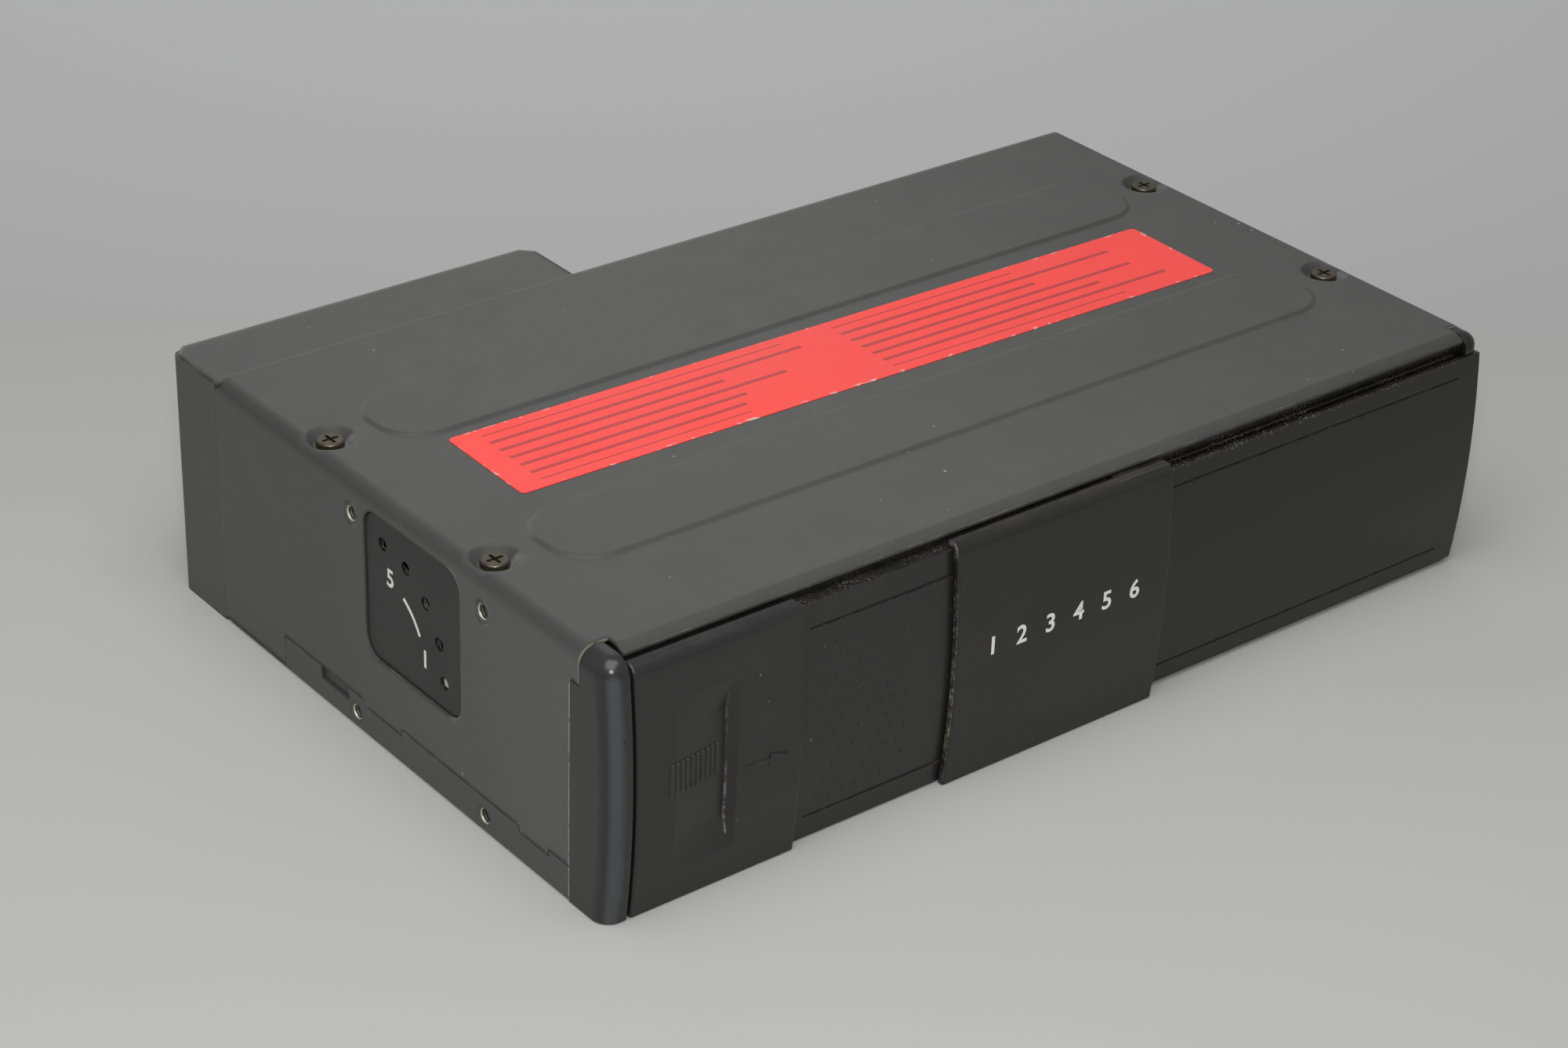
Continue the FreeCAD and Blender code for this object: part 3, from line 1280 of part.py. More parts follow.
def clamp_arm():
    """The arm over the disc, hinged behind the turntable; the puck hangs in its hole."""
    side = clamp_arm_width / 2
    low, high = clamp_arm_z - 1, clamp_arm_z + clamp_arm_thickness + 1
    arm = box(player_x - clamp_arm_nose, clamp_pin_x, disc_y - side, disc_y + side,
              clamp_arm_z, clamp_arm_z + clamp_arm_thickness)
    hub = along_y(clamp_hub_radius, clamp_pin_x, disc_y - side, disc_y + side, clamp_pin_z)
    seat = along_z(clamp_neck_radius + running_gap, player_x, disc_y, low, high)
    bore = along_y(clamp_pin_radius + running_gap, clamp_pin_x, disc_y - side - 1, disc_y + side + 1,
                   clamp_pin_z)
    length, width = clamp_window
    windows = []
    for i in range(int((clamp_pin_x - player_x - clamp_window_start) / clamp_window_pitch)):
        x = player_x + clamp_window_start + i * clamp_window_pitch
        windows.append(box(x, x + length, disc_y - width / 2, disc_y + width / 2, low, high))
    return cut(fuse(arm, hub), seat, bore, *windows)


def clamp_puck():
    """A disc with a dimple for the turntable's cone, a neck through the arm, and a cap on the neck."""
    foot = turntable_top + clamp_rise
    arm_top = clamp_arm_z + clamp_arm_thickness
    cap_radius, cap_thickness = clamp_cap
    puck = along_z(clamp_radius, player_x, disc_y, foot, clamp_arm_z - running_gap)
    neck = along_z(clamp_neck_radius, player_x, disc_y, foot, arm_top + fit_gap)
    cap = along_z(cap_radius, player_x, disc_y, arm_top + 2 * running_gap,
                  arm_top + 2 * running_gap + cap_thickness)
    depth = clamp_thickness - bite
    dimple = Part.makeCone(cone_radius + fit_gap, cone_radius + fit_gap - depth, depth,
                           V(player_x, disc_y, foot))
    return cut(fuse(puck, neck, cap), dimple)


def clamp_pin():
    span = clamp_arm_width / 2 + fit_gap + clamp_post[1]
    return along_y(clamp_pin_radius, clamp_pin_x, disc_y - span, disc_y + span, clamp_pin_z)


# ---------------------------------------------------------------- electronics
def board_holes():
    near, far = board_hole_inset
    for x in (board_x + near, board_x + board_width - far):
        for z in (board_z + near, board_z + board_height - near):
            yield x, z


def main_board():
    plate = box(board_x, board_x + board_width, board_y, board_y + board_thickness, board_z,
                board_z + board_height)
    return cut(plate, *[along_y(board_hole_radius, x, board_y - 1, board_y + board_thickness + 1, z)
                        for x, z in board_holes()])


def board_chips():
    face = board_y + board_thickness
    inset, rise = chip_inset
    shapes, x = [], board_x + inset
    for i, (width, height, thick) in enumerate(chip_sizes):
        z = board_z + rise + (i % 2) * chip_step
        shapes.append(box(x, x + width, face, face + thick, z, z + height))
        x += width + chip_gap
    return shapes


def standoffs():
    """Posts from the tail's rear wall that carry the board on pegs."""
    back, face = rear - tray_sheet, board_y + board_thickness
    return [fuse(along_y(standoff_radius, x, face, back, z),
                 along_y(board_hole_radius - running_gap, x, board_y - standoff_peg, face + bite, z))
            for x, z in board_holes()]


# ---------------------------------------------------------------- the printed sticker
def top_sticker():
    length, width = sticker_length, sticker_width
    slab = rounded_slab(-length / 2, length / 2, -width / 2, width / 2, roof, roof + sticker_thickness,
                        sticker_corner)
    slab.rotate(V(0, 0, roof), V(0, 0, 1), sticker_turn)
    dx, dy = sticker_shift
    slab.translate(V(dx, (roof_panel_y[0] + roof_panel_y[1]) / 2 + dy, 0))
    return slab


# ---------------------------------------------------------------- make every piece
def both_sides(name, shape):
    export("right_" + name, shape)
    export("left_" + name, mirrored(shape))


export("top_cover", top_cover())
export("chassis_tray", chassis_tray())
export("front_bezel", front_bezel())
export("grip_door", grip_door())
export("centre_door", centre_door())
export("eject_button", eject_button())
export("top_sticker", top_sticker())
export("cover_screws", *[roof_screw(side * x, y) for x, y in screw_points() for side in (-1, 1)])
both_sides("side_frame", side_frame())
both_sides("scale_plate", scale_plate())
both_sides("adjuster_arm", adjuster_arm())
both_sides("float_spring", float_spring())
export("transit_plugs", *[transit_plug(x, y) for x, y in transit_points()])
export("bus_socket", socket(bus_socket_z, bus_socket, bus_pins))
export("power_socket", socket(power_socket_z, power_socket_size, power_pins))
export("deck", deck())
export("dampers", *[damper(sign, y) for sign in (-1, 1) for y in damper_y])
export("magazine_case", magazine_case())
export("magazine_trays", *[magazine_tray(i) for i in range(tray_count)])
export("lift_slide_front", lift_slide(True))
export("lift_slide_rear", lift_slide(False))
export("lift_pinion", lift_pinion())
export("lift_motor", lift_motor())
export("motor_bracket", motor_bracket())
export("carriage", carriage())
export("lift_pins", *lift_pins())
export("spindle_motor", spindle_motor())
export("turntable", turntable())
export("pickup_sled", sled())
export("pickup_lens", lens())
export("guide_rods", *guide_rods())
export("sled_screw", sled_screw())
export("sled_motor", sled_motor())
export("clamp_arm", clamp_arm())
export("clamp_puck", clamp_puck())
export("clamp_pin", clamp_pin())
export("main_board", main_board())
export("board_chips", *board_chips())
export("board_standoffs", *standoffs())
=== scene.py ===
import json
import math

import bmesh
import bpy
from mathutils import Matrix, Vector


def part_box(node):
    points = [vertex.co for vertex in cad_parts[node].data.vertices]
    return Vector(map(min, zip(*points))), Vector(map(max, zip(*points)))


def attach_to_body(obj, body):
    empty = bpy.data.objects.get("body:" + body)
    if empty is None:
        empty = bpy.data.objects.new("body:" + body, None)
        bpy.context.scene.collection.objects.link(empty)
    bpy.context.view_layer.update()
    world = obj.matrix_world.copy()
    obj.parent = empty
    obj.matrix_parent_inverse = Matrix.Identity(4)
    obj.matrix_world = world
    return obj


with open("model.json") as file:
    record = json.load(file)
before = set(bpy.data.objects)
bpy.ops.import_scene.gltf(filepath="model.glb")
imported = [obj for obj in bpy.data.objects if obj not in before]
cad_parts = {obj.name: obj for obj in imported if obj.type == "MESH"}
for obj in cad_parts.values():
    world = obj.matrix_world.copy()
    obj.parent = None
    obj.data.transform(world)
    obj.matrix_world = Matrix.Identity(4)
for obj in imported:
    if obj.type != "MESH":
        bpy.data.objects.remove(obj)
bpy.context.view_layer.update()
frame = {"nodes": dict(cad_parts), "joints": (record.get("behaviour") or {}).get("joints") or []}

MM = 0.001
NODES = frame["nodes"]

# Places on the object, in millimetres: x to the right, y to the rear, z up.
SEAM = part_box("chassis_tray")[0].y / MM     # y where the casing meets the bezel
NOSE = -77.2                    # the cover's front edges lie between this y and the seam; they are painted pale, partly bare metal and partly a painted highlight
BRIGHT_BORE = 128.7             # |x| beyond which the side frames' bores show bare metal with painted thread highlights
THREAD_PITCH = 0.7
FACE_RADIUS = 257.0             # the bowed front of the raised leaves
FACE_MIDDLE = 31.5              # z of its axis
POST_X = (-140.0, -119.0)
POST_HIGHLIGHT_WAY = (-0.5, -0.866, 0)    # the post's painted highlight band faces this way
PANEL_X = (18.0, 20.0)          # the bezel's tone changes between these
BEZEL_RAIL = {"X": (-78.0, 124.0), "Z": (58.6, 62.6)}
LEAF_RAIL_Z = (59.8, 60.8)
GRIP_RIBS = {"X": (-117.2, -102.8), "Z": (28.2, 36.4)}
GRIP_WALLS = ((-101.0, 10.0, 46.0, 0.4), (-101.0, 9.0, 26.0, 0.8))  # x, low z, high z, amount
CENTRE_WALLS = ((-39.0, 4.0, 61.0, 0.75),)

# The label's print, in millimetres from its middle.
LABEL_SHIFT = (1.0, 3.6)        # this and the turn, in degrees, bring the label's middle to 0, 0
LABEL_TURN = 1.0
LABEL_RIM = {"along": (103.0, 104.0), "across": (14.4, 15.3)}
BAR_PITCH = 4.1
BAR_EDGE = (0.17, 0.14)         # from a bar's middle, in shares of the pitch
BAR_LENGTH = (60.0, 95.0)
BAR_START = 3.0
BAR_REACH = 12.2                # the outermost bars lie so far across
COLUMN_PITCH = 100.0

# Printed figures, in millimetres and degrees.
INK_LIFT = 0.04
DOOR_FIGURE = {"count": 6, "pitch": 8.6, "size": 6.4, "height": 34.0}
SCALE_FIGURES = (("1", 8.0), ("5", 80.0))
SCALE_FIGURE_REACH = 16.5
SCALE_FIGURE_SIZE = 6.2
ARC_RADII = (15.6, 16.6)
ARC_ANGLES = (27, 60)
ARC_STEPS = 24

# Camera, stage and light, in metres from the frame's origin.
CAMERA_PLACE = Vector((-0.47671, -0.56023, 0.42830))
CAMERA_RIGHT = Vector((0.78431, -0.61948, 0.03306))
CAMERA_DOWN = Vector((-0.28138, -0.40274, -0.87099))
CAMERA_AHEAD = Vector((0.55288, 0.67383, -0.49018))
LENS = 78.83                    # millimetres, as is the sensor's width
SENSOR = 36.0
FLOOR_REACH = 5.0
FAR_FROM = 0.1436               # the floor's tone changes so far along FAR_WAY
FAR_FADE = 0.5
FAR_WAY = (0.5843, 0.8115, 0)
WORLD_LIGHT = 0.19
WORLD_SEEN = 0.42
LAMPS = (                       # name, place, target, side of the square, watts
    ("overhead", (-0.26, -0.20, 0.90), (-0.02, 0, 0), 0.8, 6.1),
    ("flash", CAMERA_PLACE + Vector((0, 0, 0.10)), (-0.03, -0.02, 0.03), 0.07, 2.1),
    ("behind", (0.55, 1.0, 0.75), (0, 0, 0.03), 0.6, 0.5),
)


# ---------------------------------------------------------------- node helpers
def srgb(red, green, blue):
    """A colour given as 0 to 255 display values, as Blender's linear ones."""
    def linear(value):
        value /= 255
        return value / 12.92 if value <= 0.04045 else ((value + 0.055) / 1.055) ** 2.4
    return (linear(red), linear(green), linear(blue), 1.0)


def shade(colour, factor):
    return tuple(c * factor for c in colour[:3]) + (1.0,)


def add(tree, kind, inputs=None, **settings):
    """A node with its settings and inputs; an input is a value or another node's output."""
    node = tree.nodes.new(kind)
    for key, value in settings.items():
        setattr(node, key, value)
    for key, value in (inputs or {}).items():
        if isinstance(value, bpy.types.NodeSocket):
            tree.links.new(value, node.inputs[key])
        else:
            node.inputs[key].default_value = value
    return node


def maths(tree, operation, first, second=0.0):
    return add(tree, "ShaderNodeMath", {0: first, 1: second}, operation=operation).outputs[0]


def product(tree, *factors):
    result = factors[0]
    for factor in factors[1:]:
        result = maths(tree, "MULTIPLY", result, factor)
    return result


def mix(tree, amount, first, second):
    return add(tree, "ShaderNodeMix", {0: amount, 6: first, 7: second}, data_type="RGBA").outputs[2]


def ramp(tree, value, low, high, out_low=0.0, out_high=1.0):
    return add(tree, "ShaderNodeMapRange", {"Value": value, "From Min": low, "From Max": high,
                                            "To Min": out_low, "To Max": out_high}).outputs[0]


def noise(tree, coordinates, scale, detail=2.0, roughness=0.5):
    return add(tree, "ShaderNodeTexNoise", {"Vector": coordinates, "Scale": scale, "Detail": detail,
                                            "Roughness": roughness}).outputs["Fac"]


def split(tree, vector):
    """The x, y and z outputs of a vector."""
    return add(tree, "ShaderNodeSeparateXYZ", {0: vector}).outputs


def dot(tree, first, second):
    return add(tree, "ShaderNodeVectorMath", {0: first, 1: second},
               operation="DOT_PRODUCT").outputs["Value"]


# ---------------------------------------------------------------- materials
class Finish:
    """A principled material built up in layers over one base colour.

    A mask is a node's output, or a number, from 0 to 1. Places and heights are in millimetres.
    """

    def __init__(self, name, colour, roughness, metallic=0.0, edge=0.4):
        self.material = bpy.data.materials.new(name)
        self.material.use_nodes = True
        self.tree = self.material.node_tree
        self.shader = self.tree.nodes["Principled BSDF"]
        self.shader.inputs["Metallic"].default_value = metallic
        self.place = add(self.tree, "ShaderNodeTexCoord").outputs["Object"]
        self.normal = add(self.tree, "ShaderNodeNewGeometry").outputs["Normal"]
        self.soft = self.bend(edge)
        self.base = colour
        self.colour = colour
        self.roughness = roughness
        self.relief = None

    def bend(self, radius, samples=4):
        """The normal, rounded over the edges by a radius."""
        return add(self.tree, "ShaderNodeBevel", {"Radius": radius * MM},
                   samples=samples).outputs[0]

    def edge(self):
        """A mask of the edges: where the softened normal leaves the true one."""
        return ramp(self.tree, dot(self.tree, self.soft, self.normal), 0.985, 0.80)

    def facing(self, axis, sign, least=0.85):
        """A mask of the faces that look one way along an axis; sign 0 means either way."""
        value = split(self.tree, self.normal)["XYZ".index(axis)]
        if sign:
            value = maths(self.tree, "MULTIPLY", value, sign)
        else:
            value = maths(self.tree, "ABSOLUTE", value)
        return ramp(self.tree, value, least - 0.1, least)

    def between(self, axis, low, high, soft=0.3):
        """A mask that is 1 between two places along an axis, and fades over the soft width."""
        value = split(self.tree, self.place)["XYZ".index(axis)]
        return product(self.tree, ramp(self.tree, value, (low - soft) * MM, low * MM),
                       ramp(self.tree, value, (high + soft) * MM, high * MM))

    def grit(self, scale, low, high):
        """A mask of scattered grains."""
        return ramp(self.tree, noise(self.tree, self.place, scale, 6.0, 0.75), low, high)

    def layer(self, colour, *masks):
        """Another colour where all the masks are 1."""
        self.colour = mix(self.tree, product(self.tree, *masks), self.colour, colour)
        return self

    def clouds(self, amount, scale=25.0, gloss=0.05):
        """Slow changes in tone and gloss."""
        cloud = noise(self.tree, self.place, scale, 4.0, 0.6)
        self.colour = mix(self.tree, ramp(self.tree, cloud, 0.3, 0.7),
                          shade(self.base, 1 - amount), shade(self.base, 1 + amount))
        self.roughness = ramp(self.tree, cloud, 0.3, 0.7,
                              self.roughness - gloss, self.roughness + gloss)
        return self

    def grain(self, scale, height):
        """Fine relief."""
        self.relief = (noise(self.tree, self.place, scale, 3.0, 0.6), height)
        return self

    def streaks(self, scale, amount, colour):
        """Brushed or scuffed lines along the axis with the smallest scale."""
        stretched = add(self.tree, "ShaderNodeMapping",
                        {"Vector": self.place, "Scale": scale}).outputs[0]
        line = noise(self.tree, stretched, 1.0, 3.0, 0.6)
        return self.layer(colour, ramp(self.tree, line, 0.55, 0.8), amount)

    def wear(self, colour, amount, scale=180.0):
        """Rubbed edges, broken up by noise."""
        patch = ramp(self.tree, noise(self.tree, self.place, scale, 5.0, 0.65), 0.5, 0.68)
        return self.layer(colour, self.edge(), patch, amount)

    def dust(self, amount, colour=srgb(176, 172, 164)):
        """Pale dust on faces that look up."""
        up = ramp(self.tree, split(self.tree, self.normal)[2], 0.6, 0.95)
        patch = ramp(self.tree, noise(self.tree, self.place, 60.0, 6.0, 0.7), 0.45, 0.8)
        return self.layer(colour, up, patch, amount)

    def specks(self, amount, colour, scale, density):
        """Small scattered grains on every face."""
        grain = ramp(self.tree, noise(self.tree, self.place, scale, 1.0), density, density + 0.03)
        return self.layer(colour, grain, amount)

    def done(self):
        for socket, value in (("Base Color", self.colour), ("Roughness", self.roughness)):
            if isinstance(value, bpy.types.NodeSocket):
                self.tree.links.new(value, self.shader.inputs[socket])
            else:
                self.shader.inputs[socket].default_value = value
        normal = self.soft
        if self.relief:
            relief, height = self.relief
            normal = add(self.tree, "ShaderNodeBump",
                         {"Height": relief, "Distance": height * MM, "Strength": 1.0,
                          "Normal": self.soft}).outputs[0]
        self.tree.links.new(normal, self.shader.inputs["Normal"])
        return self.material


DIRT = srgb(158, 148, 130)
# Painted shade, laid over the cover where less light falls.
PAINTED_SHADE = srgb(52, 53, 52)
# Pale edge tone: partly rubbed paint, partly a painted highlight.
EDGE_WEAR_AND_HIGHLIGHT = srgb(178, 173, 160)


def painted_bend_reflections(steel):
    """Painted reflections: folds and slopes that look ahead are painted dark, as the dark room
    above would mirror in them; those that look back are painted pale, as the pale wall would.
    """
    tree = steel.tree
    wide = split(tree, steel.bend(2.0, samples=8))
    upright = product(tree, wide[2], wide[2])
    oblique = ramp(tree, product(tree, upright, maths(tree, "SUBTRACT", 1.0, upright)), 0.01, 0.20)
    ahead, behind = ramp(tree, wide[1], 0.10, 0.0), ramp(tree, wide[1], 0.04, 0.16)
    # Painted shade on slopes that look ahead, painted highlight on slopes that look back.
    steel.layer(srgb(44, 45, 44), oblique, ahead, 0.60)
    steel.layer(srgb(140, 140, 136), oblique, behind, 0.38)
    steel.roughness = maths(tree, "ADD", steel.roughness, product(tree, oblique, ahead, 0.3))


def seam_wear_and_highlight(steel):
    """A pale broken line along the casing's side edges, where they meet the bezel: partly
    rubbed-off paint, partly a painted highlight.
    """
    steel.layer(EDGE_WEAR_AND_HIGHLIGHT, steel.facing("X", 0), steel.between("Y", SEAM - 0.2, SEAM + 0.22, 0.06),
                steel.between("Z", 1.0, 55.5, 1.0), steel.grit(420.0, 0.38, 0.50))


def paint_cover():
    steel = Finish("cover_paint", srgb(74, 75, 73), 0.40, edge=0.5)
    steel.clouds(0.03, 14.0, 0.03).grain(2600.0, 0.012)
    steel.streaks((9.0, 160.0, 160.0), 0.04, srgb(130, 130, 126))
    # Painted shade and light: darker to the right, darker on the roof's left, and a painted paler
    # front on the side.
    steel.layer(PAINTED_SHADE, steel.between("X", 140.0, 200.0, 120.0), 0.4)
    steel.layer(PAINTED_SHADE, steel.between("X", -260.0, -150.0, 120.0), steel.facing("Z", 1), 0.35)
    steel.layer(srgb(104, 105, 102), steel.between("Y", -100.0, -60.0, 80.0),
                steel.facing("X", -1), 0.3)
    # Painted reflections on the folds and pressed slopes.
    painted_bend_reflections(steel)
    steel.dust(0.04).specks(0.7, srgb(176, 172, 162), 520.0, 0.805)
    # The cover's front edges, pale: partly bare cut metal, partly a painted highlight.
    steel.layer(srgb(172, 164, 146), steel.facing("Y", -1),
                steel.between("Y", NOSE, SEAM + 0.4, 0.05), steel.grit(150.0, 0.30, 0.42), 0.75)
    # Pale seam line: partly rubbed paint, partly a painted highlight.
    seam_wear_and_highlight(steel)
    return steel.wear(srgb(156, 152, 142), 0.7, 150.0).done()


def paint_tray(name, bright_bores=False):
    steel = Finish(name, srgb(74, 75, 74), 0.46, edge=0.4)
    steel.clouds(0.08, 20.0).grain(2600.0, 0.012)
    # Pale seam line: partly rubbed paint, partly a painted highlight.
    seam_wear_and_highlight(steel)
    steel.wear(srgb(164, 158, 146), 0.85, 120.0)
    if bright_bores:
        tree = steel.tree
        x = split(tree, steel.place)[0]
        outer = ramp(tree, maths(tree, "ABSOLUTE", x),
                     (BRIGHT_BORE - 0.1) * MM, (BRIGHT_BORE + 0.1) * MM)
        round_wall = maths(tree, "SUBTRACT", 1.0, steel.facing("X", 0, 0.95))
        bore = product(tree, outer, round_wall)
        # Bare metal in the bores, with painted highlights and shade: pale bands stand for thread
        # crests catching light, darker bands for the roots.
        wave = maths(tree, "SINE", product(tree, x, math.tau / (THREAD_PITCH * MM)))
        painted_thread_glints = mix(tree, ramp(tree, wave, -0.4, 0.4), srgb(120, 116, 108), srgb(226, 222, 210))
        steel.layer(painted_thread_glints, bore)
        tree.links.new(bore, steel.shader.inputs["Metallic"])
    return steel.done()


def bezel_plastic():
    plastic = Finish("bezel_plastic", srgb(39, 39, 39), 0.24, edge=0.5)
    plastic.clouds(0.10, 30.0, 0.04).grain(3200.0, 0.004)
    tree = plastic.tree
    plastic.layer(srgb(24, 23, 22), ramp(tree, split(tree, plastic.place)[0],
                                         PANEL_X[0] * MM, PANEL_X[1] * MM))
    # Painted highlight: a pale band down the post's rounded corner, where it faces
    # POST_HIGHLIGHT_WAY.
    plastic.layer(srgb(96, 98, 102), ramp(tree, dot(tree, plastic.normal, POST_HIGHLIGHT_WAY), 0.90, 0.99),
                  plastic.between("X", *POST_X, 1.0), 0.40)
    plastic.layer(DIRT, plastic.between("Z", *BEZEL_RAIL["Z"], 0.3),
                  plastic.between("X", *BEZEL_RAIL["X"], 3.0),
                  plastic.grit(1700.0, 0.54, 0.66), plastic.grit(90.0, 0.40, 0.62))
    return plastic.wear(srgb(120, 118, 112), 0.25).done()


def door_plastic(name, tone, worn_walls):
    """worn_walls are end walls that are rubbed or dirty: x, lowest z, highest z and amount."""
    plastic = Finish(name, tone, 0.3, edge=0.35)
    plastic.clouds(0.10, 26.0, 0.05).grain(3000.0, 0.006)
    plastic.streaks((30.0, 900.0, 60.0), 0.05, srgb(110, 108, 104)).dust(0.08)
    plastic.specks(0.5, srgb(140, 136, 126), 520.0, 0.80)
    plastic.layer(DIRT, plastic.between("Z", *LEAF_RAIL_Z, 0.2), plastic.facing("Z", 1),
                  plastic.grit(1700.0, 0.54, 0.66), plastic.grit(90.0, 0.40, 0.62))
    plastic.wear(srgb(128, 122, 110), 0.4, 140.0)
    plastic.layer(srgb(128, 127, 122), plastic.between("X", *GRIP_RIBS["X"], 0.2),
                  plastic.between("Z", *GRIP_RIBS["Z"], 0.2), plastic.edge(),
                  plastic.grit(400.0, 0.26, 0.50), 0.5)
    for x, low, high, amount in worn_walls:
        plastic.layer(DIRT, plastic.between("X", x - 0.15, x + 0.15, 0.1),
                      plastic.facing("X", -1, 0.5), plastic.between("Z", low, high, 5.0),
                      plastic.grit(900.0, 0.42, 0.62), plastic.grit(110.0, 0.42, 0.60), amount)
    return plastic.done()


def bar_mask(tree, along, across):
    """Bars of uneven length in two columns, which start at the label's left end and middle."""
    level = maths(tree, "DIVIDE", maths(tree, "ADD", across, BAR_PITCH / 2 * MM), BAR_PITCH * MM)
    from_middle = maths(tree, "ABSOLUTE",
                        maths(tree, "SUBTRACT", maths(tree, "FRACT", level), 0.5))
    right = maths(tree, "GREATER_THAN", along, 0.0)
    seed = maths(tree, "ADD", maths(tree, "FLOOR", level), product(tree, right, 17.0))
    chance = add(tree, "ShaderNodeTexWhiteNoise", {"W": seed},
                 noise_dimensions="1D").outputs["Value"]
    length = ramp(tree, chance, 0.0, 1.0, BAR_LENGTH[0] * MM, BAR_LENGTH[1] * MM)
    left = maths(tree, "SUBTRACT", 1.0, right)
    start = maths(tree, "ADD", along, product(tree, left, COLUMN_PITCH * MM))
    return product(tree, ramp(tree, from_middle, *BAR_EDGE),
                   maths(tree, "LESS_THAN", start, length),
                   maths(tree, "GREATER_THAN", start, BAR_START * MM),
                   maths(tree, "LESS_THAN", maths(tree, "ABSOLUTE", across), BAR_REACH * MM), 0.6)


def sticker_film():
    """A plain red band, its fluorescent red helped by a faint painted glow, with plain bars, rubbed
    pale at its edges.
    """
    film = Finish("sticker_film", srgb(252, 72, 64), 0.36, edge=0.1)
    film.clouds(0.04, 40.0, 0.06)
    tree = film.tree
    turned = add(tree, "ShaderNodeMapping",
                 {"Vector": film.place, "Location": (LABEL_SHIFT[0] * MM, LABEL_SHIFT[1] * MM, 0),
                  "Rotation": (0, 0, math.radians(LABEL_TURN))}).outputs[0]
    along, across, _ = split(tree, turned)
    bars = bar_mask(tree, along, across)
    film.layer(srgb(118, 42, 46), bars)
    rims = [ramp(tree, maths(tree, "ABSOLUTE", place), low * MM, high * MM)
            for place, (low, high) in ((across, LABEL_RIM["across"]), (along, LABEL_RIM["along"]))]
    chips = ramp(tree, noise(tree, film.place, 260.0, 5.0, 0.7), 0.56, 0.62)
    worn = product(tree, maths(tree, "MAXIMUM", *rims), chips)
    film.layer(srgb(228, 214, 208), worn)
    # Painted light: the red film glows faintly, brighter than lit red alone; the bars and rubbed
    # rims do not glow.
    film.shader.inputs["Emission Color"].default_value = (1.0, 0.02, 0.02, 1.0)
    painted_glow = ramp(tree, maths(tree, "MAXIMUM", worn, bars), 0.0, 1.0, 0.05, 0.0)
    tree.links.new(painted_glow, film.shader.inputs["Emission Strength"])
    return film.done()


def plain(name, colour, roughness, metallic=0.0, wear=None, grain=(2500.0, 0.006), edge=0.3):
    finish = Finish(name, colour, roughness, metallic, edge).clouds(0.08, 60.0).grain(*grain)
    if wear:
        finish.wear(wear, 0.6)
    return finish.done()


def brushed(name, colour, roughness):
    finish = Finish(name, colour, roughness, metallic=1.0, edge=0.25).clouds(0.06, 50.0)
    return finish.streaks((20.0, 900.0, 900.0), 0.35, shade(colour, 0.7)).done()


def lens_glass():
    glass = Finish("lens_glass", srgb(120, 130, 190), 0.05, edge=0.2).clouds(0.1, 300.0, 0.02)
    glass.shader.inputs["Transmission Weight"].default_value = 0.7
    return glass.done()


def board_mask():
    """Green solder mask with pale lanes."""
    board = Finish("board_mask", srgb(30, 92, 52), 0.35, edge=0.2).clouds(0.08, 60.0)
    cell = add(board.tree, "ShaderNodeTexVoronoi", {"Vector": board.place, "Scale": 260.0},
               distance="CHEBYCHEV", feature="F1").outputs["Distance"]
    return board.layer(srgb(188, 186, 172), ramp(board.tree, cell, 0.10, 0.06)).done()


def material_table():
    """The material of every CAD node."""
    zinc = brushed("zinc_steel", srgb(176, 174, 166), 0.38)
    bright = brushed("bright_steel", srgb(196, 196, 192), 0.22)
    motor = brushed("motor_steel", srgb(184, 182, 176), 0.32)
    spring = plain("spring_steel", srgb(150, 150, 148), 0.3, metallic=1.0)
    dark = plain("dark_moulding", srgb(44, 44, 46), 0.45, wear=srgb(110, 108, 104))
    mid = plain("grey_moulding", srgb(92, 92, 92), 0.5)
    pale = plain("acetal", srgb(212, 210, 200), 0.45)
    black = plain("black_moulding", srgb(26, 26, 27), 0.42, wear=srgb(96, 92, 86))
    rubber = plain("rubber", srgb(30, 30, 30), 0.75, grain=(1800.0, 0.02))
    frame_paint = paint_tray("frame_paint", bright_bores=True)
    return {
        "top_cover": paint_cover(),
        "chassis_tray": paint_tray("tray_paint"),
        "front_bezel": bezel_plastic(),
        "grip_door": door_plastic("grip_door_plastic", srgb(34, 34, 34), GRIP_WALLS),
        "centre_door": door_plastic("centre_door_plastic", srgb(31, 30, 29), CENTRE_WALLS),
        "top_sticker": sticker_film(),
        "cover_screws": plain("black_zinc", srgb(90, 83, 70), 0.3, metallic=0.85,
                              wear=srgb(170, 160, 140), edge=0.2),
        "left_side_frame": frame_paint, "right_side_frame": frame_paint,
        "left_scale_plate": black, "right_scale_plate": black,
        "left_adjuster_arm": pale, "right_adjuster_arm": pale,
        "left_float_spring": spring, "right_float_spring": spring,
        "transit_plugs": rubber, "dampers": rubber,
        "bus_socket": mid, "power_socket": mid, "eject_button": mid,
        "deck": zinc, "magazine_case": dark, "magazine_trays": mid,
        "lift_slide_front": zinc, "lift_slide_rear": zinc,
        "lift_pinion": plain("brass", srgb(196, 164, 92), 0.3, metallic=1.0),
        "lift_motor": motor, "motor_bracket": zinc, "carriage": dark, "lift_pins": bright,
        "spindle_motor": motor, "turntable": dark, "pickup_sled": mid,
        "pickup_lens": lens_glass(), "guide_rods": bright, "sled_screw": bright,
        "sled_motor": motor, "clamp_arm": zinc, "clamp_puck": pale, "clamp_pin": bright,
        "main_board": board_mask(), "board_chips": plain("chip", srgb(24, 24, 25), 0.4),
        "board_standoffs": bright,
    }


def dress_nodes():
    for name, material in material_table().items():
        for slot in NODES[name].material_slots:
            slot.material = material


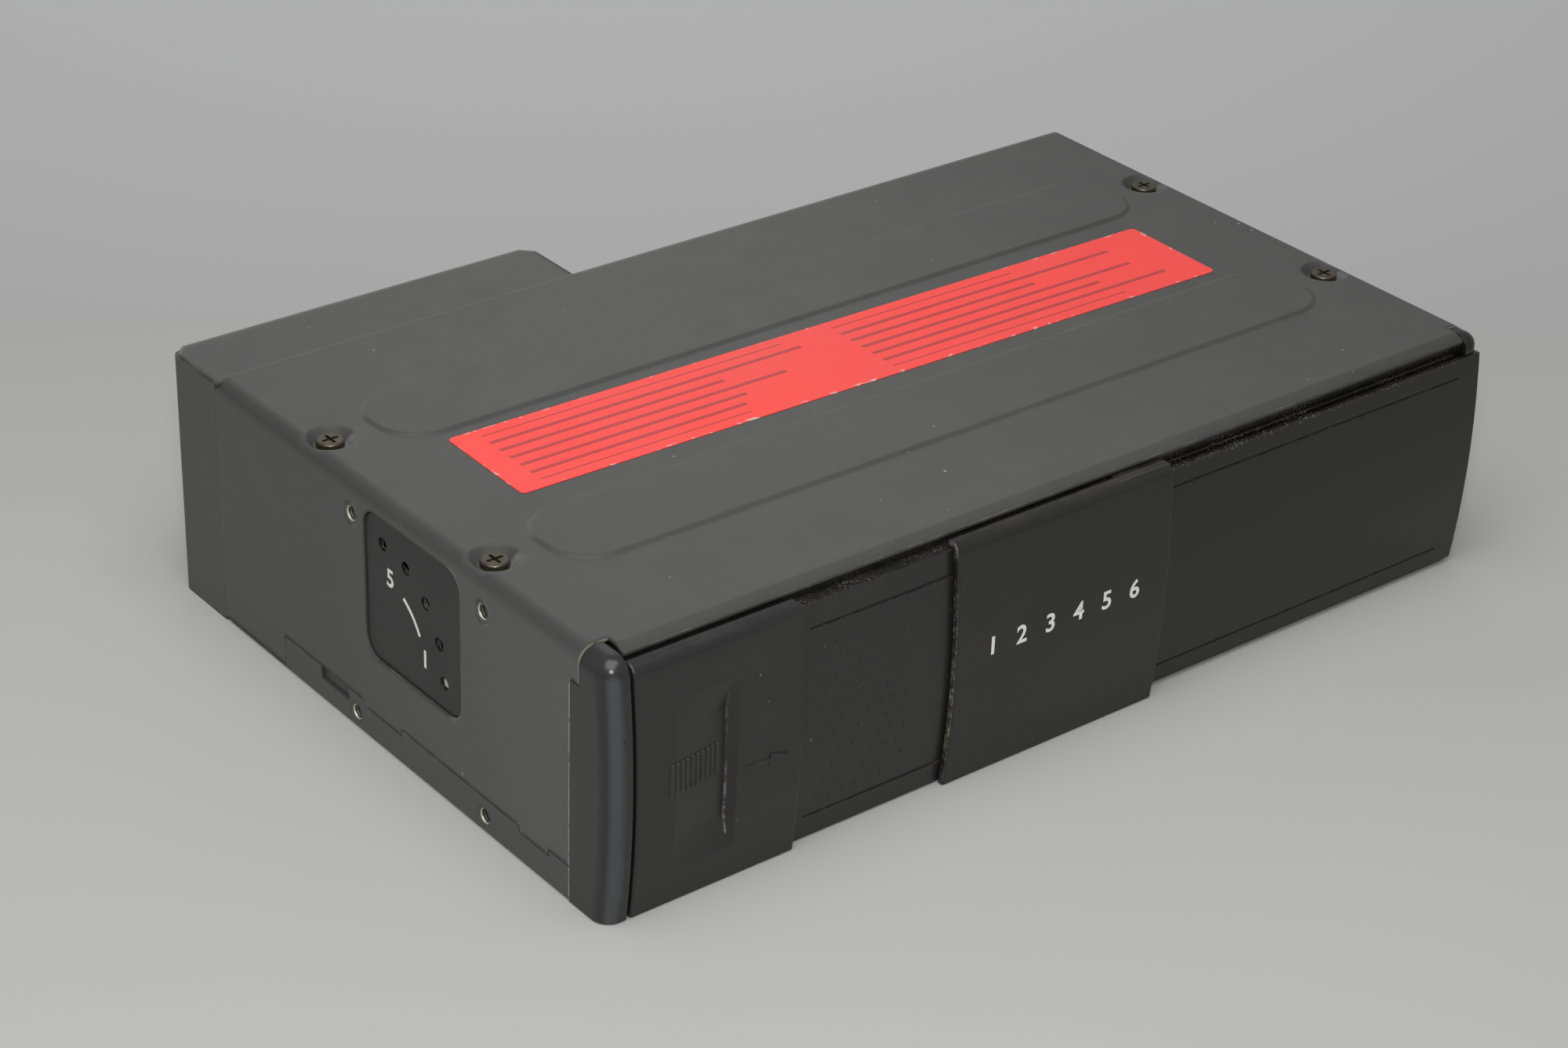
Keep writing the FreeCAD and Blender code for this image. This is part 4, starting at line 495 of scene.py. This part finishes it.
# ---------------------------------------------------------------- printed marks
def white_ink():
    return Finish("white_ink", srgb(244, 244, 241), 0.45, edge=0.02).clouds(0.04, 200.0).done()


def attach(name, mesh, ink, body):
    """A mark made of one mesh, which moves with a CAD body."""
    mesh.materials.append(ink)
    piece = bpy.data.objects.new(name, mesh)
    bpy.context.scene.collection.objects.link(piece)
    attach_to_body(piece, body)


def figure_mesh(name, words, size, place, axes):
    """Flat figures centred on a place. axes are their own right, up and outward directions."""
    curve = bpy.data.curves.new(name, "FONT")
    curve.body = words
    curve.size = size
    curve.align_x = curve.align_y = "CENTER"
    curve.offset = 0.022 * size
    helper = bpy.data.objects.new(name + "_helper", curve)
    bpy.context.scene.collection.objects.link(helper)
    bpy.context.view_layer.update()
    evaluated = helper.evaluated_get(bpy.context.evaluated_depsgraph_get())
    mesh = bpy.data.meshes.new_from_object(evaluated)
    bpy.data.objects.remove(helper)
    turn = Matrix([Vector(v) for v in axes]).transposed().to_4x4()
    mesh.transform(Matrix.Translation(Vector(place)) @ turn)
    return mesh


def lay_on_door(mesh):
    """Bends a mesh over the middle leaf's bowed front, just proud of it."""
    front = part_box("centre_door")[0].y
    form = bmesh.new()
    form.from_mesh(mesh)
    bmesh.ops.subdivide_edges(form, edges=form.edges, cuts=2, use_grid_fill=False)
    for vertex in form.verts:
        rise = vertex.co.z - FACE_MIDDLE * MM
        drop = FACE_RADIUS * MM - math.sqrt((FACE_RADIUS * MM) ** 2 - rise ** 2)
        vertex.co.y = front + drop - INK_LIFT * MM
    form.to_mesh(mesh)
    form.free()


def print_door(ink):
    low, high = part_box("centre_door")
    count, pitch = DOOR_FIGURE["count"], DOOR_FIGURE["pitch"] * MM
    for i in range(count):
        x = (low.x + high.x) / 2 + (i - (count - 1) / 2) * pitch
        mesh = figure_mesh("door_figure_%d" % (i + 1), str(i + 1), DOOR_FIGURE["size"] * MM,
                           (x, 0, DOOR_FIGURE["height"] * MM), ((1, 0, 0), (0, 0, 1), (0, -1, 0)))
        lay_on_door(mesh)
        attach("door_figure_%d" % (i + 1), mesh, ink, "middle_leaf")


def on_scale(face, reach, angle):
    """A point on a scale plate, by its reach in millimetres and angle from the adjuster's axis."""
    _, y, z = next(j["pos_m"] for j in frame["joints"] if j["name"] == "left_adjuster_turn")
    return (face, y - reach * MM * math.cos(angle), z + reach * MM * math.sin(angle))


def print_scales(ink):
    for side, sign in (("left", -1), ("right", 1)):
        low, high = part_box(side + "_scale_plate")
        face = (low.x if sign < 0 else high.x) + sign * INK_LIFT * MM
        for figure, angle in SCALE_FIGURES:
            name = "%s_scale_figure_%s" % (side, figure)
            mesh = figure_mesh(name, figure, SCALE_FIGURE_SIZE * MM,
                               on_scale(face, SCALE_FIGURE_REACH, math.radians(angle)),
                               ((0, sign, 0), (0, 0, 1), (sign, 0, 0)))
            attach(name, mesh, ink, "casing")
        name = side + "_scale_arc"
        attach(name, arc_mesh(name, face), ink, "casing")


def arc_mesh(name, face):
    """An arc between the first figure and the last."""
    form = bmesh.new()
    start, end = (math.radians(angle) for angle in ARC_ANGLES)
    rows = []
    for i in range(ARC_STEPS + 1):
        angle = start + (end - start) * i / ARC_STEPS
        rows.append([form.verts.new(on_scale(face, radius, angle)) for radius in ARC_RADII])
    for (a, b), (c, d) in zip(rows, rows[1:]):
        form.faces.new((a, b, d, c))
    mesh = bpy.data.meshes.new(name)
    form.to_mesh(mesh)
    form.free()
    return mesh


# ---------------------------------------------------------------- camera, stage and light
def make_camera():
    data = bpy.data.cameras.new("camera")
    data.lens = LENS
    data.sensor_width = SENSOR
    camera = bpy.data.objects.new("camera", data)
    bpy.context.scene.collection.objects.link(camera)
    turn = Matrix((CAMERA_RIGHT, -CAMERA_DOWN, -CAMERA_AHEAD)).transposed()
    camera.matrix_world = Matrix.Translation(CAMERA_PLACE) @ turn.to_4x4()
    bpy.context.scene.camera = camera


def floor_paint():
    """A pale floor. Beyond a line behind the object its tone is cooler, and paler with distance."""
    finish = Finish("floor_paint", srgb(187, 187, 185), 0.85, edge=0.1)
    finish.clouds(0.015, 3.0).grain(400.0, 0.02)
    tree = finish.tree
    away = dot(tree, finish.place, FAR_WAY)
    far = mix(tree, ramp(tree, away, FAR_FROM, FAR_FROM + FAR_FADE),
              srgb(187, 187, 188), srgb(248, 248, 249))
    return finish.layer(far, ramp(tree, away, FAR_FROM - MM, FAR_FROM + MM)).done()


def make_stage():
    mesh = bpy.data.meshes.new("floor")
    low, high = -FLOOR_REACH, FLOOR_REACH
    mesh.from_pydata([(low, low, 0), (high, low, 0), (high, high, 0), (low, high, 0)], [],
                     [(0, 1, 2, 3)])
    mesh.materials.append(floor_paint())
    plane = bpy.data.objects.new("floor", mesh)
    bpy.context.scene.collection.objects.link(plane)


def area_light(name, place, target, side, power):
    data = bpy.data.lights.new(name, "AREA")
    data.shape = "RECTANGLE"
    data.size = data.size_y = side
    data.energy = power
    lamp = bpy.data.objects.new(name, data)
    lamp.location = place
    lamp.rotation_euler = (Vector(target) - Vector(place)).to_track_quat("-Z", "Y").to_euler()
    bpy.context.scene.collection.objects.link(lamp)


def make_light():
    """The lamps, and a world that lights less than it shows as a background."""
    world = bpy.data.worlds.new("studio")
    world.use_nodes = True
    tree = world.node_tree
    background = tree.nodes["Background"]
    background.inputs["Color"].default_value = (0.99, 0.99, 1.0, 1.0)
    path = add(tree, "ShaderNodeLightPath").outputs
    seen = maths(tree, "MAXIMUM", path["Is Camera Ray"],
                 maths(tree, "MAXIMUM", path["Is Glossy Ray"], path["Is Transmission Ray"]))
    strength = ramp(tree, seen, 0.0, 1.0, WORLD_LIGHT, WORLD_SEEN)
    tree.links.new(strength, background.inputs["Strength"])
    bpy.context.scene.world = world
    for lamp in LAMPS:
        area_light(*lamp)


dress_nodes()
INK = white_ink()
print_door(INK)
print_scales(INK)
make_stage()
make_light()
make_camera()
bpy.context.scene.view_settings.view_transform = "Standard"
